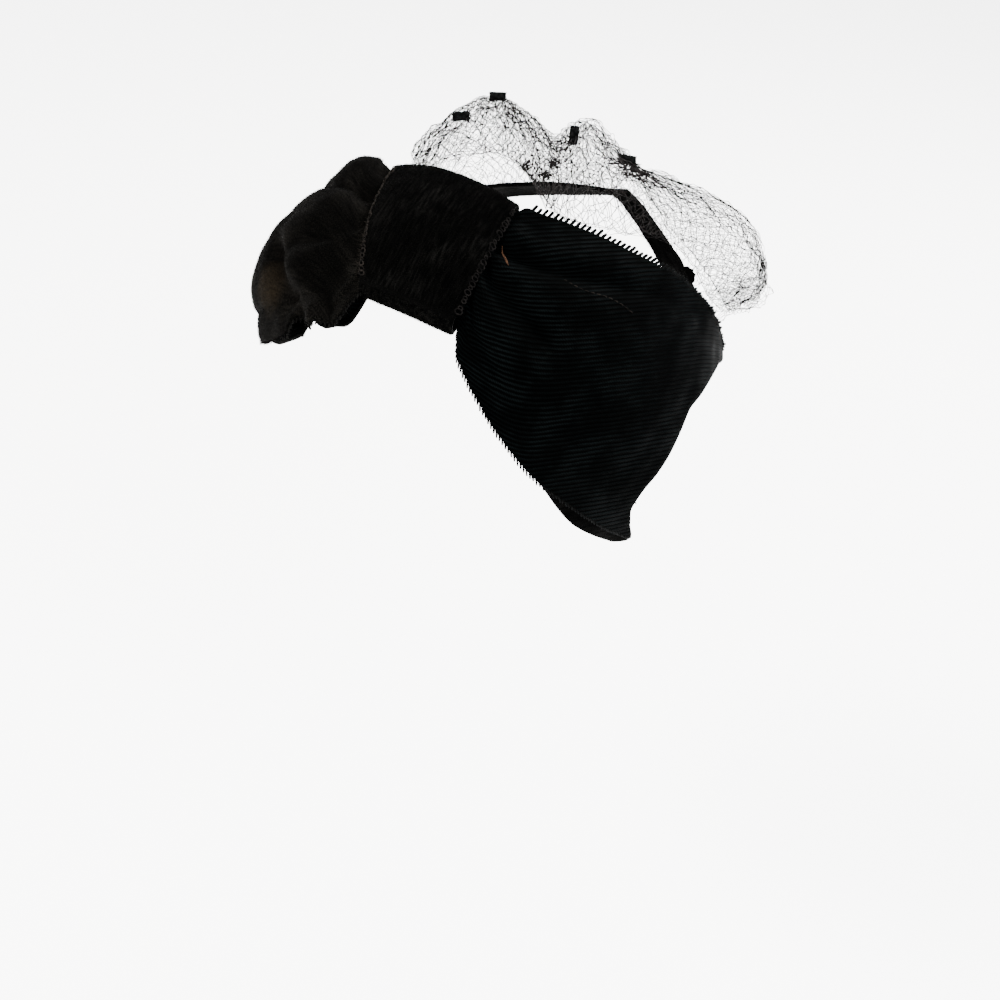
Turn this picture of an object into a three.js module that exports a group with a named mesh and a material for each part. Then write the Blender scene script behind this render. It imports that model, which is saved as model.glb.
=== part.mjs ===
import * as THREE from "three";

// Cocktail hat: a wide bow across an open crown, with a net veil in poufs on the back band.
// Sizes are in millimetres. +Z is up, -Y is the wearer's front and +X is the wearer's left.
// Zero is the top of the round crown form that the hat is shaped to.

// Half sizes of the crown form.
const CROWN = { width: 76, length: 90, height: 80 };

// Thickness of every cloth sheet.
const CLOTH = 1.4;

// Heights above the crown form of the loops' inner layer and of the knot's two layers.
const LINING_LIFT = 3.3;
const KNOT_TOP_LIFT = 9.6;
const KNOT_CROWNING = 2.2;
const KNOT_UNDER_LIFT = 1.1;

// Left loop: directions of its upper and lower edge from inside the knot to the far fold.
const LEFT_EDGES = [
  { at: 0.0, topX: 4, topY: -42, topZ: 0, lowX: 5, lowY: -66, lowZ: -18, lift: 6.7 },
  { at: 0.12, topX: 17, topY: -38, topZ: 0, lowX: 20, lowY: -70, lowZ: -21, lift: 6.7 },
  { at: 0.2, topX: 24, topY: -29, topZ: 1, lowX: 23, lowY: -78, lowZ: -34, lift: 7.6 },
  { at: 0.36, topX: 38, topY: -23, topZ: -4, lowX: 35, lowY: -80, lowZ: -48, lift: 8.8 },
  { at: 0.52, topX: 50, topY: -15, topZ: -10, lowX: 46, lowY: -78, lowZ: -61, lift: 9.0 },
  { at: 0.68, topX: 61, topY: -2, topZ: -19, lowX: 56, lowY: -71, lowZ: -74, lift: 8.8 },
  { at: 0.84, topX: 70, topY: 16, topZ: -33, lowX: 66, lowY: -58, lowZ: -90, lift: 8.6 },
  { at: 1.0, topX: 76, topY: 39, topZ: -55, lowX: 74, lowY: -39, lowZ: -105, lift: 8.4 },
];
const LEFT_FOLD_HOLLOW = 0.13;
const LEFT_LOW_TUCK = 1.2;

// How far below the middle the far fold of a loop is hollowed most.
const HOLLOW_SKEW = 1.6;

// Shares of its width by which the left loop's outer layer ends short and the inner one shows.
const LEFT_HEM = { from: 0.58, to: 0.84, short: 0.035, over: 0.05 };

// Folds pressed in (negative) or raised (positive) on the left loop, as lines over the cloth.
const LEFT_FOLDS = [
  { fromAt: 0.14, fromDown: 0.38, toAt: 0.8, toDown: 0.09, width: 3.4, depth: -2.4 },
  { fromAt: 0.16, fromDown: 0.24, toAt: 0.7, toDown: 0.03, width: 4.5, depth: 1.0 },
  { fromAt: 0.16, fromDown: 0.46, toAt: 0.66, toDown: 0.3, width: 4.5, depth: 1.3 },
  { fromAt: 0.14, fromDown: 0.55, toAt: 0.4, toDown: 0.55, width: 3.2, depth: -2.4 },
  { fromAt: 0.38, fromDown: 0.55, toAt: 0.42, toDown: 0.56, width: 3.4, depth: -2.2 },
  { fromAt: 0.14, fromDown: 0.67, toAt: 0.42, toDown: 0.7, width: 4.0, depth: 1.4 },
  { fromAt: 0.13, fromDown: 0.79, toAt: 0.33, toDown: 0.82, width: 3.0, depth: -1.8 },
];

// Right loop, caught up into lobes that stand well off the crown form.
const RIGHT_EDGES = [
  { at: 0.0, topX: -10, topY: -40, topZ: 0, lowX: -3, lowY: -66, lowZ: -18, lift: 6.7 },
  { at: 0.14, topX: -36, topY: -26, topZ: -1, lowX: -15, lowY: -67, lowZ: -19, lift: 6.7 },
  { at: 0.2, topX: -41, topY: -18, topZ: -2, lowX: -19, lowY: -77, lowZ: -32, lift: 7.6 },
  { at: 0.28, topX: -47, topY: -10, topZ: -5, lowX: -28, lowY: -80, lowZ: -38, lift: 8.4 },
  { at: 0.4, topX: -56, topY: -2, topZ: -13, lowX: -41, lowY: -76, lowZ: -46, lift: 9.0 },
  { at: 0.55, topX: -65, topY: 6, topZ: -24, lowX: -56, lowY: -65, lowZ: -56, lift: 9.0 },
  { at: 0.7, topX: -71, topY: 15, topZ: -34, lowX: -67, lowY: -52, lowZ: -63, lift: 8.6 },
  { at: 0.85, topX: -75, topY: 25, topZ: -44, lowX: -76, lowY: -33, lowZ: -72, lift: 8.6 },
  { at: 1.0, topX: -77, topY: 35, topZ: -54, lowX: -80, lowY: -12, lowZ: -80, lift: 8.4 },
];
const RIGHT_FOLD_HOLLOW = 0.02;
const RIGHT_HEM = { from: 0, to: 1, short: 0, over: 0 };
const RIGHT_PUFF = 9.6;
const RIGHT_TAIL = 4;
const RIGHT_RUFFLE = { from: 0.16, to: 0.42, waves: 2.5, depth: 2.6, start: 0.8 };

// Folds of the right loop: three pleats from the knot and the crease of the hanging end.
const RIGHT_FOLDS = [
  { fromAt: 0.15, fromDown: 0.4, toAt: 0.44, toDown: 0.38, width: 3.8, depth: -6.0 },
  { fromAt: 0.15, fromDown: 0.62, toAt: 0.46, toDown: 0.69, width: 3.8, depth: -5.0 },
  { fromAt: 0.17, fromDown: 0.74, toAt: 0.29, toDown: 0.98, width: 3.2, depth: -5.5 },
  { fromAt: 0.4, fromDown: 0.7, toAt: 0.36, toDown: 0.96, width: 3.4, depth: -5.5 },
  { fromAt: 0.18, fromDown: 0.52, toAt: 0.5, toDown: 0.54, width: 6.0, depth: 1.8 },
  { fromAt: 0.2, fromDown: 0.2, toAt: 0.5, toDown: 0.2, width: 8.0, depth: 1.5 },
];

// Fine gathers that run out of the knot into either loop.
const GATHERS = { count: 5, depth: 0.7, reach: 0.34 };

// Knot: directions of the corners of the flat wrap.
const KNOT_TOP = { leftX: 17, leftY: -34, leftZ: 0, rightX: -37, rightY: -18, rightZ: -1 };
const KNOT_LOW = { leftX: 19, leftY: -73, leftZ: -24, rightX: -14, rightY: -71, rightZ: -20 };

// Back band: its lower and upper edge from the left loop to the right one.
const BAND_EDGES = [
  { at: 0.0, lowX: 71, lowY: 0, lowZ: -42, lowLift: 5.5, topX: 75, topY: 12, topZ: -52, topLift: 5.5 },
  { at: 0.08, lowX: 66, lowY: 6, lowZ: -34, lowLift: 5.5, topX: 73, topY: 18, topZ: -44, topLift: 5.5 },
  { at: 0.16, lowX: 60, lowY: 12, lowZ: -28, lowLift: 5.0, topX: 68, topY: 24, topZ: -36, topLift: 5.4 },
  { at: 0.24, lowX: 53, lowY: 17, lowZ: -25, lowLift: 1.2, topX: 59, topY: 28, topZ: -28, topLift: 4.6 },
  { at: 0.33, lowX: 41, lowY: 22, lowZ: -17, lowLift: 1.0, topX: 46, topY: 31, topZ: -19, topLift: 4.0 },
  { at: 0.42, lowX: 28, lowY: 34, lowZ: -12, lowLift: 1.2, topX: 30, topY: 42, topZ: -11, topLift: 4.8 },
  { at: 0.53, lowX: 11, lowY: 54, lowZ: -18, lowLift: 1.4, topX: 12, topY: 63, topZ: -23, topLift: 4.6 },
  { at: 0.64, lowX: -12, lowY: 60, lowZ: -23, lowLift: 1.4, topX: -12, topY: 70, topZ: -31, topLift: 4.4 },
  { at: 0.75, lowX: -37, lowY: 52, lowZ: -27, lowLift: 1.4, topX: -41, topY: 61, topZ: -36, topLift: 4.4 },
  { at: 0.85, lowX: -55, lowY: 36, lowZ: -30, lowLift: 2.4, topX: -62, topY: 44, topZ: -38, topLift: 4.8 },
  { at: 0.93, lowX: -64, lowY: 20, lowZ: -31, lowLift: 5.2, topX: -70, topY: 29, topZ: -40, topLift: 5.5 },
  { at: 1.0, lowX: -71, lowY: 4, lowZ: -40, lowLift: 5.6, topX: -75, topY: 14, topZ: -49, topLift: 5.6 },
];

// Net veil: stations from the wearer's left end to the right end. Each profile starts at the
// band, swells back, rises to the crest and comes down to a free border in front.
const SHOULDER_RISE = 0.12;
const VEIL_STATIONS = [
  { at: 0.0, baseX: 76, baseY: 38, baseZ: -44, swell: 3,
    crestX: 79, crestY: 42, crestZ: -40, frontX: 74, frontY: 33, frontZ: -42 },
  { at: 0.1, baseX: 71, baseY: 34, baseZ: -35, swell: 7,
    crestX: 86, crestY: 42, crestZ: -28, frontX: 70, frontY: 26, frontZ: -34 },
  { at: 0.2, baseX: 62, baseY: 33, baseZ: -25, swell: 9,
    crestX: 74, crestY: 45, crestZ: -10, frontX: 61, frontY: 25, frontZ: -22 },
  { at: 0.3, baseX: 48, baseY: 35, baseZ: -16, swell: 7,
    crestX: 51, crestY: 45, crestZ: -3, frontX: 49, frontY: 24, frontZ: -12 },
  { at: 0.4, baseX: 28, baseY: 47, baseZ: -5, swell: 2,
    crestX: 25, crestY: 46, crestZ: 0, frontX: 38, frontY: 8, frontZ: -7 },
  { at: 0.5, baseX: 13, baseY: 66, baseZ: -19, swell: 8,
    crestX: 4, crestY: 58, crestZ: 8, frontX: 30, frontY: -12, frontZ: -3 },
  { at: 0.6, baseX: -4, baseY: 72, baseZ: -23, swell: 3,
    crestX: -9, crestY: 60, crestZ: -3, frontX: 20, frontY: -5, frontZ: -1 },
  { at: 0.7, baseX: -20, baseY: 70, baseZ: -27, swell: 8,
    crestX: -26, crestY: 58, crestZ: 6, frontX: -2, frontY: 18, frontZ: 0 },
  { at: 0.8, baseX: -36, baseY: 65, baseZ: -31, swell: 9,
    crestX: -38, crestY: 56, crestZ: 9, frontX: -22, frontY: 26, frontZ: -2 },
  { at: 0.9, baseX: -52, baseY: 56, baseZ: -34, swell: 8,
    crestX: -54, crestY: 52, crestZ: -1, frontX: -42, frontY: 26, frontZ: -9 },
  { at: 1.0, baseX: -63, baseY: 46, baseZ: -38, swell: 4,
    crestX: -65, crestY: 44, crestZ: -16, frontX: -56, frontY: 28, frontZ: -24 },
];
const NET = { along: 32, across: 8, opening: 0.84, thickness: 1.0 };

// Chenille bars: place on the veil, turn about its surface and height above its smooth form.
const BARS = [
  { name: "chenille_bar_1", at: 0.865, across: 0.73, turn: 15, sit: 0.1 },
  { name: "chenille_bar_2", at: 0.78, across: 0.6, turn: 0, sit: -0.37 },
  { name: "chenille_bar_3", at: 0.545, across: 0.7, turn: 95, sit: -0.16 },
  { name: "chenille_bar_4", at: 0.4, across: 0.54, turn: 0, sit: 0.45 },
];
const BAR = { length: 6.5, radius: 1.9, sides: 6 };

// Rows and columns of the cloth grids.
const LOOP_GRID = { along: 26, fold: 5, back: 12, across: 20 };
const KNOT_GRID = { over: 12, fold: 5, under: 6, across: 8 };
const BAND_GRID = { along: 40, across: 1 };

const VELVET = new THREE.MeshStandardMaterial({ color: 0x141213, roughness: 0.95 });
const RIBBED = new THREE.MeshStandardMaterial({ color: 0x101113, roughness: 0.8 });
const NETTING = new THREE.MeshStandardMaterial({ color: 0x1a1a1b, roughness: 0.9 });
const CHENILLE = new THREE.MeshStandardMaterial({ color: 0x0c0b0b, roughness: 1.0 });

const CROWN_CENTRE = new THREE.Vector3(0, 0, -CROWN.height);

/** The point above the crown at a given height, in the direction of another point. */
function onCrown(direction, lift) {
  const ray = direction.clone().sub(CROWN_CENTRE);
  const reach = Math.hypot(
    ray.x / (CROWN.width + lift),
    ray.y / (CROWN.length + lift),
    ray.z / (CROWN.height + lift),
  );
  return CROWN_CENTRE.clone().addScaledVector(ray, 1 / reach);
}

/** A table's column at a place along its rows, as a smooth curve through them. */
function column(rows, key, at) {
  let k = 0;
  while (k < rows.length - 2 && at > rows[k + 1].at) {
    k += 1;
  }
  const before = rows[Math.max(k - 1, 0)];
  const start = rows[k];
  const end = rows[k + 1];
  const after = rows[Math.min(k + 2, rows.length - 1)];
  const span = end.at - start.at;
  const t = (at - start.at) / span;
  const slopeStart = ((end[key] - before[key]) / (end.at - before.at)) * span;
  const slopeEnd = ((after[key] - start[key]) / (after.at - start.at)) * span;
  const t2 = t * t;
  const t3 = t2 * t;
  return (2 * t3 - 3 * t2 + 1) * start[key]
    + (t3 - 2 * t2 + t) * slopeStart
    + (3 * t2 - 2 * t3) * end[key]
    + (t3 - t2) * slopeEnd;
}

/** The point that three columns of a table give at a place along its rows. */
function pointAt(rows, prefix, at) {
  return new THREE.Vector3(
    column(rows, `${prefix}X`, at),
    column(rows, `${prefix}Y`, at),
    column(rows, `${prefix}Z`, at),
  );
}

/** A smooth step from 0 to 1 between two values. */
function ease(from, to, value) {
  return THREE.MathUtils.smoothstep(value, from, to);
}

/** The height that a list of folds adds at a place on a loop. */
function foldLift(folds, at, down) {
  const lengthScale = 105;
  const widthScale = 66;
  let lift = 0;
  for (const fold of folds) {
    const run = (fold.toAt - fold.fromAt) * lengthScale;
    const drop = (fold.toDown - fold.fromDown) * widthScale;
    const x = (at - fold.fromAt) * lengthScale;
    const y = (down - fold.fromDown) * widthScale;
    const t = THREE.MathUtils.clamp((x * run + y * drop) / (run * run + drop * drop), 0, 1);
    const away = Math.hypot(x - t * run, y - t * drop) / fold.width;
    lift += fold.depth * (1 - 0.55 * t) * Math.exp(-away * away);
  }
  return lift;
}

/** The gathers that the knot presses into a loop, which die out along it. */
function gatherLift(at, down) {
  const fade = 1 - ease(0, GATHERS.reach, at);
  return GATHERS.depth * fade * Math.cos(2 * Math.PI * GATHERS.count * down);
}

/** A closed body from a grid of points half-way through a sheet. */
function shell(middle, thickness, closed = false) {
  const rows = middle.length;
  const columns = middle[0].length;
  const rowAt = (i) => middle[closed ? (i + rows) % rows : Math.min(Math.max(i, 0), rows - 1)];
  const positions = [];
  for (const side of [0.5, -0.5]) {
    for (let i = 0; i < rows; i += 1) {
      for (let j = 0; j < columns; j += 1) {
        const along = rowAt(i + 1)[j].clone().sub(rowAt(i - 1)[j]);
        const next = middle[i][Math.min(j + 1, columns - 1)];
        const across = next.clone().sub(middle[i][Math.max(j - 1, 0)]);
        const normal = along.cross(across).normalize();
        const point = middle[i][j].clone().addScaledVector(normal, side * thickness);
        positions.push(point.x, point.y, point.z);
      }
    }
  }
  const front = (i, j) => ((i + rows) % rows) * columns + j;
  const rear = (i, j) => rows * columns + front(i, j);
  const faces = [];
  const steps = closed ? rows : rows - 1;
  for (let i = 0; i < steps; i += 1) {
    for (let j = 0; j < columns - 1; j += 1) {
      faces.push(front(i, j), front(i + 1, j), front(i + 1, j + 1));
      faces.push(front(i, j), front(i + 1, j + 1), front(i, j + 1));
      faces.push(rear(i, j), rear(i + 1, j + 1), rear(i + 1, j));
      faces.push(rear(i, j), rear(i, j + 1), rear(i + 1, j + 1));
    }
    const last = columns - 1;
    faces.push(front(i, 0), rear(i, 0), rear(i + 1, 0));
    faces.push(front(i, 0), rear(i + 1, 0), front(i + 1, 0));
    faces.push(front(i, last), rear(i + 1, last), rear(i, last));
    faces.push(front(i, last), front(i + 1, last), rear(i + 1, last));
  }
  if (!closed) {
    const end = rows - 1;
    for (let j = 0; j < columns - 1; j += 1) {
      faces.push(front(0, j), rear(0, j + 1), rear(0, j));
      faces.push(front(0, j), front(0, j + 1), rear(0, j + 1));
      faces.push(front(end, j), rear(end, j), rear(end, j + 1));
      faces.push(front(end, j), rear(end, j + 1), front(end, j + 1));
    }
  }
  return geometryFrom(positions, faces);
}

/** A geometry from flat lists of coordinates and of corner numbers. */
function geometryFrom(positions, faces) {
  const geometry = new THREE.BufferGeometry();
  geometry.setAttribute("position", new THREE.Float32BufferAttribute(positions, 3));
  geometry.setIndex(faces);
  geometry.computeVertexNormals();
  return geometry;
}

/** A half-turn of cloth that joins two layers whose ends stand at the given points. */
function foldArc(start, end, outward, steps) {
  const centre = start.clone().add(end).multiplyScalar(0.5);
  const arm = start.clone().sub(centre);
  const radius = arm.length();
  const arc = [];
  for (let k = 1; k < steps; k += 1) {
    const angle = (Math.PI * k) / steps;
    arc.push(
      centre.clone()
        .addScaledVector(arm, Math.cos(angle))
        .addScaledVector(outward, radius * Math.sin(angle)),
    );
  }
  return arc;
}

/** The middle surface of a bow loop: out to the far fold, round it and back beneath. */
function loopRows(edges, hollow, liftOf, hem) {
  const grid = LOOP_GRID;
  const columns = [];
  for (let j = 0; j <= grid.across; j += 1) {
    const down = j / grid.across;
    const stretch = 1 - hollow * Math.sin(Math.PI * Math.pow(down, HOLLOW_SKEW));
    const place = (at, width, lift) => {
      const top = pointAt(edges, "top", at * stretch);
      const low = pointAt(edges, "low", at * stretch);
      return onCrown(top.lerp(low, width), lift);
    };
    const stepAt = (at) => ease(hem.from, hem.to, at);
    const inner = (at) => place(at, down * (1 + hem.over * stepAt(at)), LINING_LIFT);
    const outer = (at) => (
      place(at, down * (1 - hem.short * stepAt(at)), liftOf(at * stretch, down))
    );
    const points = [];
    for (let i = 0; i <= grid.along; i += 1) {
      points.push(outer(i / grid.along));
    }
    const tip = points[points.length - 1];
    const inside = inner(1);
    const outward = tip.clone().sub(outer(0.95)).normalize();
    points.push(...foldArc(tip, inside, outward, grid.fold));
    for (let i = grid.back; i >= 0; i -= 1) {
      points.push(inner(i / grid.back));
    }
    columns.push(points);
  }
  return columns[0].map((_, i) => columns.map((points) => points[i]));
}

/** The height of the left loop's outer layer above the crown. */
function leftLift(at, down) {
  return column(LEFT_EDGES, "lift", at)
    + foldLift(LEFT_FOLDS, at, down)
    + gatherLift(at, down)
    - LEFT_LOW_TUCK * ease(0.7, 1, down);
}

/** The height of the right loop's outer layer above the crown. */
function rightLift(at, down) {
  const out = ease(0.13, 0.34, at);
  const swell = Math.pow(Math.sin(Math.PI * Math.min(down * 1.25 + 0.02, 1)), 0.6);
  const tail = Math.sin(Math.PI * THREE.MathUtils.clamp((down - 0.45) / 0.55, 0, 1));
  const along = (at - RIGHT_RUFFLE.from) / (RIGHT_RUFFLE.to - RIGHT_RUFFLE.from);
  const inRuffle = along > 0 && along < 1 ? Math.sin(Math.PI * along) : 0;
  const ruffle = RIGHT_RUFFLE.depth * inRuffle * ease(RIGHT_RUFFLE.start, 1, down)
    * (1 + Math.sin(2 * Math.PI * RIGHT_RUFFLE.waves * along));
  return column(RIGHT_EDGES, "lift", at)
    + out * (RIGHT_PUFF * swell + RIGHT_TAIL * tail)
    + out * foldLift(RIGHT_FOLDS, at, down)
    + gatherLift(at, down)
    + ruffle;
}

/** The knot's wrap: over the bow, round its top edge, back beneath and round its lower edge. */
function knotRows() {
  const grid = KNOT_GRID;
  const columns = [];
  for (let j = 0; j <= grid.across; j += 1) {
    const side = j / grid.across;
    const corner = (edge, axis) => (
      THREE.MathUtils.lerp(edge[`left${axis}`], edge[`right${axis}`], side)
    );
    const top = new THREE.Vector3(...["X", "Y", "Z"].map((axis) => corner(KNOT_TOP, axis)));
    const low = new THREE.Vector3(...["X", "Y", "Z"].map((axis) => corner(KNOT_LOW, axis)));
    const place = (up, lift) => onCrown(low.clone().lerp(top, up), lift);
    const points = [];
    for (let i = 0; i <= grid.over; i += 1) {
      const up = i / grid.over;
      points.push(place(up, KNOT_TOP_LIFT + KNOT_CROWNING * Math.sin(Math.PI * up)));
    }
    const upward = place(1, 6).sub(place(0.9, 6)).normalize();
    points.push(...foldArc(place(1, KNOT_TOP_LIFT), place(1, KNOT_UNDER_LIFT), upward, grid.fold));
    for (let i = grid.under; i >= 0; i -= 1) {
      points.push(place(i / grid.under, KNOT_UNDER_LIFT));
    }
    const downward = place(0, 6).sub(place(0.1, 6)).normalize();
    points.push(...foldArc(place(0, KNOT_UNDER_LIFT), place(0, KNOT_TOP_LIFT), downward, grid.fold));
    columns.push(points);
  }
  return columns[0].map((_, i) => columns.map((points) => points[i]));
}

/** The back band from the left loop over the back of the crown to the right loop. */
function bandRows() {
  const rows = [];
  for (let i = 0; i <= BAND_GRID.along; i += 1) {
    const at = i / BAND_GRID.along;
    const low = onCrown(pointAt(BAND_EDGES, "low", at), column(BAND_EDGES, "lowLift", at));
    const top = onCrown(pointAt(BAND_EDGES, "top", at), column(BAND_EDGES, "topLift", at));
    const row = [];
    for (let j = 0; j <= BAND_GRID.across; j += 1) {
      row.push(low.clone().lerp(top, j / BAND_GRID.across));
    }
    rows.push(row);
  }
  return rows;
}

/** A point of the veil: along from left to right, across from the band over to the border. */
function veilPoint(at, across) {
  const base = pointAt(VEIL_STATIONS, "base", at);
  const crest = pointAt(VEIL_STATIONS, "crest", at);
  const border = pointAt(VEIL_STATIONS, "front", at);
  const outward = new THREE.Vector3(base.x, base.y, 0).normalize();
  const swell = base.clone().lerp(crest, 0.45);
  swell.addScaledVector(outward, column(VEIL_STATIONS, "swell", at));
  const shoulder = crest.clone().lerp(border, 0.5);
  shoulder.z += SHOULDER_RISE * crest.distanceTo(border);
  const profile = new THREE.CatmullRomCurve3([base, swell, crest, shoulder, border]);
  return profile.getPoint(across);
}

/** The veil as a body with a diamond opening in every mesh of the net. */
function netBody() {
  const positions = [];
  const faces = [];
  const known = new Map();
  const add = (i, j) => {
    const key = `${i.toFixed(4)},${j.toFixed(4)}`;
    if (!known.has(key)) {
      const at = i / NET.along;
      const across = j / NET.across;
      const step = 0.004;
      const along = veilPoint(Math.min(at + step, 1), across)
        .sub(veilPoint(Math.max(at - step, 0), across));
      const over = veilPoint(at, Math.min(across + step, 1))
        .sub(veilPoint(at, Math.max(across - step, 0)));
      const normal = along.cross(over).normalize();
      const point = veilPoint(at, across);
      const first = positions.length / 3;
      for (const side of [0.5, -0.5]) {
        const face = point.clone().addScaledVector(normal, side * NET.thickness);
        positions.push(face.x, face.y, face.z);
      }
      known.set(key, first);
    }
    return known.get(key);
  };
  const wall = (a, b) => {
    faces.push(a, a + 1, b + 1);
    faces.push(a, b + 1, b);
  };
  const whole = (i, j) => i > 0 && i < NET.along && j > 0 && j < NET.across;
  const around = [[1, 0], [0, 1], [-1, 0], [0, -1]];
  for (let i = 1; i < NET.along; i += 1) {
    for (let j = 1 + (i + 1) % 2; j < NET.across; j += 2) {
      const outer = around.map(([di, dj]) => add(i + di, j + dj));
      const gap = NET.opening;
      const hole = around.map(([di, dj]) => add(i + di * gap, j + dj * gap));
      for (let k = 0; k < 4; k += 1) {
        const n = (k + 1) % 4;
        faces.push(outer[k], outer[n], hole[n]);
        faces.push(outer[k], hole[n], hole[k]);
        faces.push(outer[k] + 1, hole[n] + 1, outer[n] + 1);
        faces.push(outer[k] + 1, hole[k] + 1, hole[n] + 1);
        wall(hole[n], hole[k]);
        const beyondI = i + around[k][0] + around[n][0];
        const beyondJ = j + around[k][1] + around[n][1];
        if (!whole(beyondI, beyondJ)) {
          wall(outer[k], outer[n]);
        }
      }
    }
  }
  return geometryFrom(positions, faces);
}

/** A chenille bar that lies on the net. */
function barBody(bar) {
  const step = 0.01;
  const point = veilPoint(bar.at, bar.across);
  const along = veilPoint(bar.at + step, bar.across).sub(point).normalize();
  const over = veilPoint(bar.at, bar.across + step).sub(point).normalize();
  const normal = along.clone().cross(over).normalize();
  if (normal.z < 0) {
    normal.negate();
  }
  const lie = along.applyAxisAngle(normal, THREE.MathUtils.degToRad(bar.turn));
  const half = BAR.length / 2;
  const profile = [
    new THREE.Vector2(0, -half),
    new THREE.Vector2(0.8 * BAR.radius, -half),
    new THREE.Vector2(BAR.radius, -half + 0.6),
    new THREE.Vector2(BAR.radius, half - 0.6),
    new THREE.Vector2(0.8 * BAR.radius, half),
    new THREE.Vector2(0, half),
  ];
  const geometry = new THREE.LatheGeometry(profile, BAR.sides);
  const turn = new THREE.Quaternion().setFromUnitVectors(new THREE.Vector3(0, 1, 0), lie);
  geometry.applyQuaternion(turn);
  const height = NET.thickness / 2 + BAR.radius + bar.sit;
  const place = point.addScaledVector(normal, height);
  geometry.translate(place.x, place.y, place.z);
  return geometry;
}

const hat = new THREE.Group();
hat.name = "cocktail_hat";

/** Adds one named piece to the hat. */
function addPiece(name, geometry, material) {
  const mesh = new THREE.Mesh(geometry, material);
  mesh.name = name;
  hat.add(mesh);
}

const leftRows = loopRows(LEFT_EDGES, LEFT_FOLD_HOLLOW, leftLift, LEFT_HEM);
const rightRows = loopRows(RIGHT_EDGES, RIGHT_FOLD_HOLLOW, rightLift, RIGHT_HEM);
addPiece("left_bow_loop", shell(leftRows, CLOTH), RIBBED);
addPiece("right_bow_loop", shell(rightRows, CLOTH), VELVET);
addPiece("knot", shell(knotRows(), CLOTH, true), VELVET);
addPiece("back_band", shell(bandRows(), CLOTH), VELVET);
addPiece("veil", netBody(), NETTING);
for (const bar of BARS) {
  addPiece(bar.name, barBody(bar), CHENILLE);
}

export default hat;
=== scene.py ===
"""Looks of the cocktail hat: a wide flat bow over an open crown, with a net veil in poufs behind.

Sizes are in millimetres in the hat's own frame: +Z is up, -Y is the front, where the knot lies,
+X is the side of the ribbed loop and zero is the top of the crown form. Meshes are made in metres.
"""

import logging
import math
from abc import ABC, abstractmethod
from dataclasses import dataclass, field
from enum import Enum
from typing import Any, Sequence

import bpy
import numpy as np
from mathutils import Matrix, Vector

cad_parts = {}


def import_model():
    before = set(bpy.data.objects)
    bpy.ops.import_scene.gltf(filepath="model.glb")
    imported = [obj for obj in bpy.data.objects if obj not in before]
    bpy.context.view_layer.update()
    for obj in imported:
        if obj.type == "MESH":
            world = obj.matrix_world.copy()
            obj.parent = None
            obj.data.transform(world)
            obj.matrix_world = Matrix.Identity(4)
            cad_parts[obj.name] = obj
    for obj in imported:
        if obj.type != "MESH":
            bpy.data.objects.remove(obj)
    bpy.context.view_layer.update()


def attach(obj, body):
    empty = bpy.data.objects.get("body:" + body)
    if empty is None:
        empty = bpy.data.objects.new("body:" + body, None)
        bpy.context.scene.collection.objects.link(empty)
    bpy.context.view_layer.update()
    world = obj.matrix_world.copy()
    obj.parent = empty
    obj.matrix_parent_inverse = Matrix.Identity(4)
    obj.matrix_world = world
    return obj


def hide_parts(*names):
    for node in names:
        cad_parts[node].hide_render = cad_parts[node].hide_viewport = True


LOG = logging.getLogger("cocktail_hat")
MM = 0.001
BODY = "root"
CLOTH_ATTRIBUTE = "cloth_mm"

# The thickness of every cloth, and the way from its middle to its surface.
CLOTH = 1.4
SURFACE = CLOTH / 2

Colour = tuple[float, float, float]
Triple = tuple[float, float, float]
Span = tuple[float, float]


# Tables of the hat's forms.


@dataclass(frozen=True)
class EdgeRow:
    """Where a loop's upper and lower edge run at one place along it."""

    at: float
    top: Triple
    low: Triple
    lift: float


@dataclass(frozen=True)
class BandRow:
    """Where the back band's lower and upper edge run at one place along it."""

    at: float
    low: Triple
    low_lift: float
    top: Triple
    top_lift: float


@dataclass(frozen=True)
class VeilRow:
    """One profile of the veil: from the band over the crest to the free border."""

    at: float
    base: Triple
    swell: float
    crest: Triple
    front: Triple


@dataclass(frozen=True)
class Fold:
    """A line over a loop's cloth that is pressed in (negative) or raised (positive)."""

    from_at: float
    from_down: float
    to_at: float
    to_down: float
    width: float
    depth: float


@dataclass(frozen=True)
class Hem:
    """Shares of its width by which a loop's outer layer ends short and the inner one shows."""

    start: float
    end: float
    short: float
    over: float


@dataclass(frozen=True)
class ReachRow:
    """How far along its table a loop goes at one place across it."""

    down: float
    reach: float


@dataclass(frozen=True)
class BarRow:
    """A chenille bar: its place on the veil and the direction of its length."""

    name: str
    at: float
    across: float
    lie: Triple


@dataclass(frozen=True)
class TackRow:
    """Where on the veil its net is drawn together."""

    at: float
    across: float


@dataclass(frozen=True)
class PleatRow:
    """A line over the veil along which threads of its net run together."""

    from_at: float
    from_across: float
    to_at: float
    to_across: float


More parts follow.
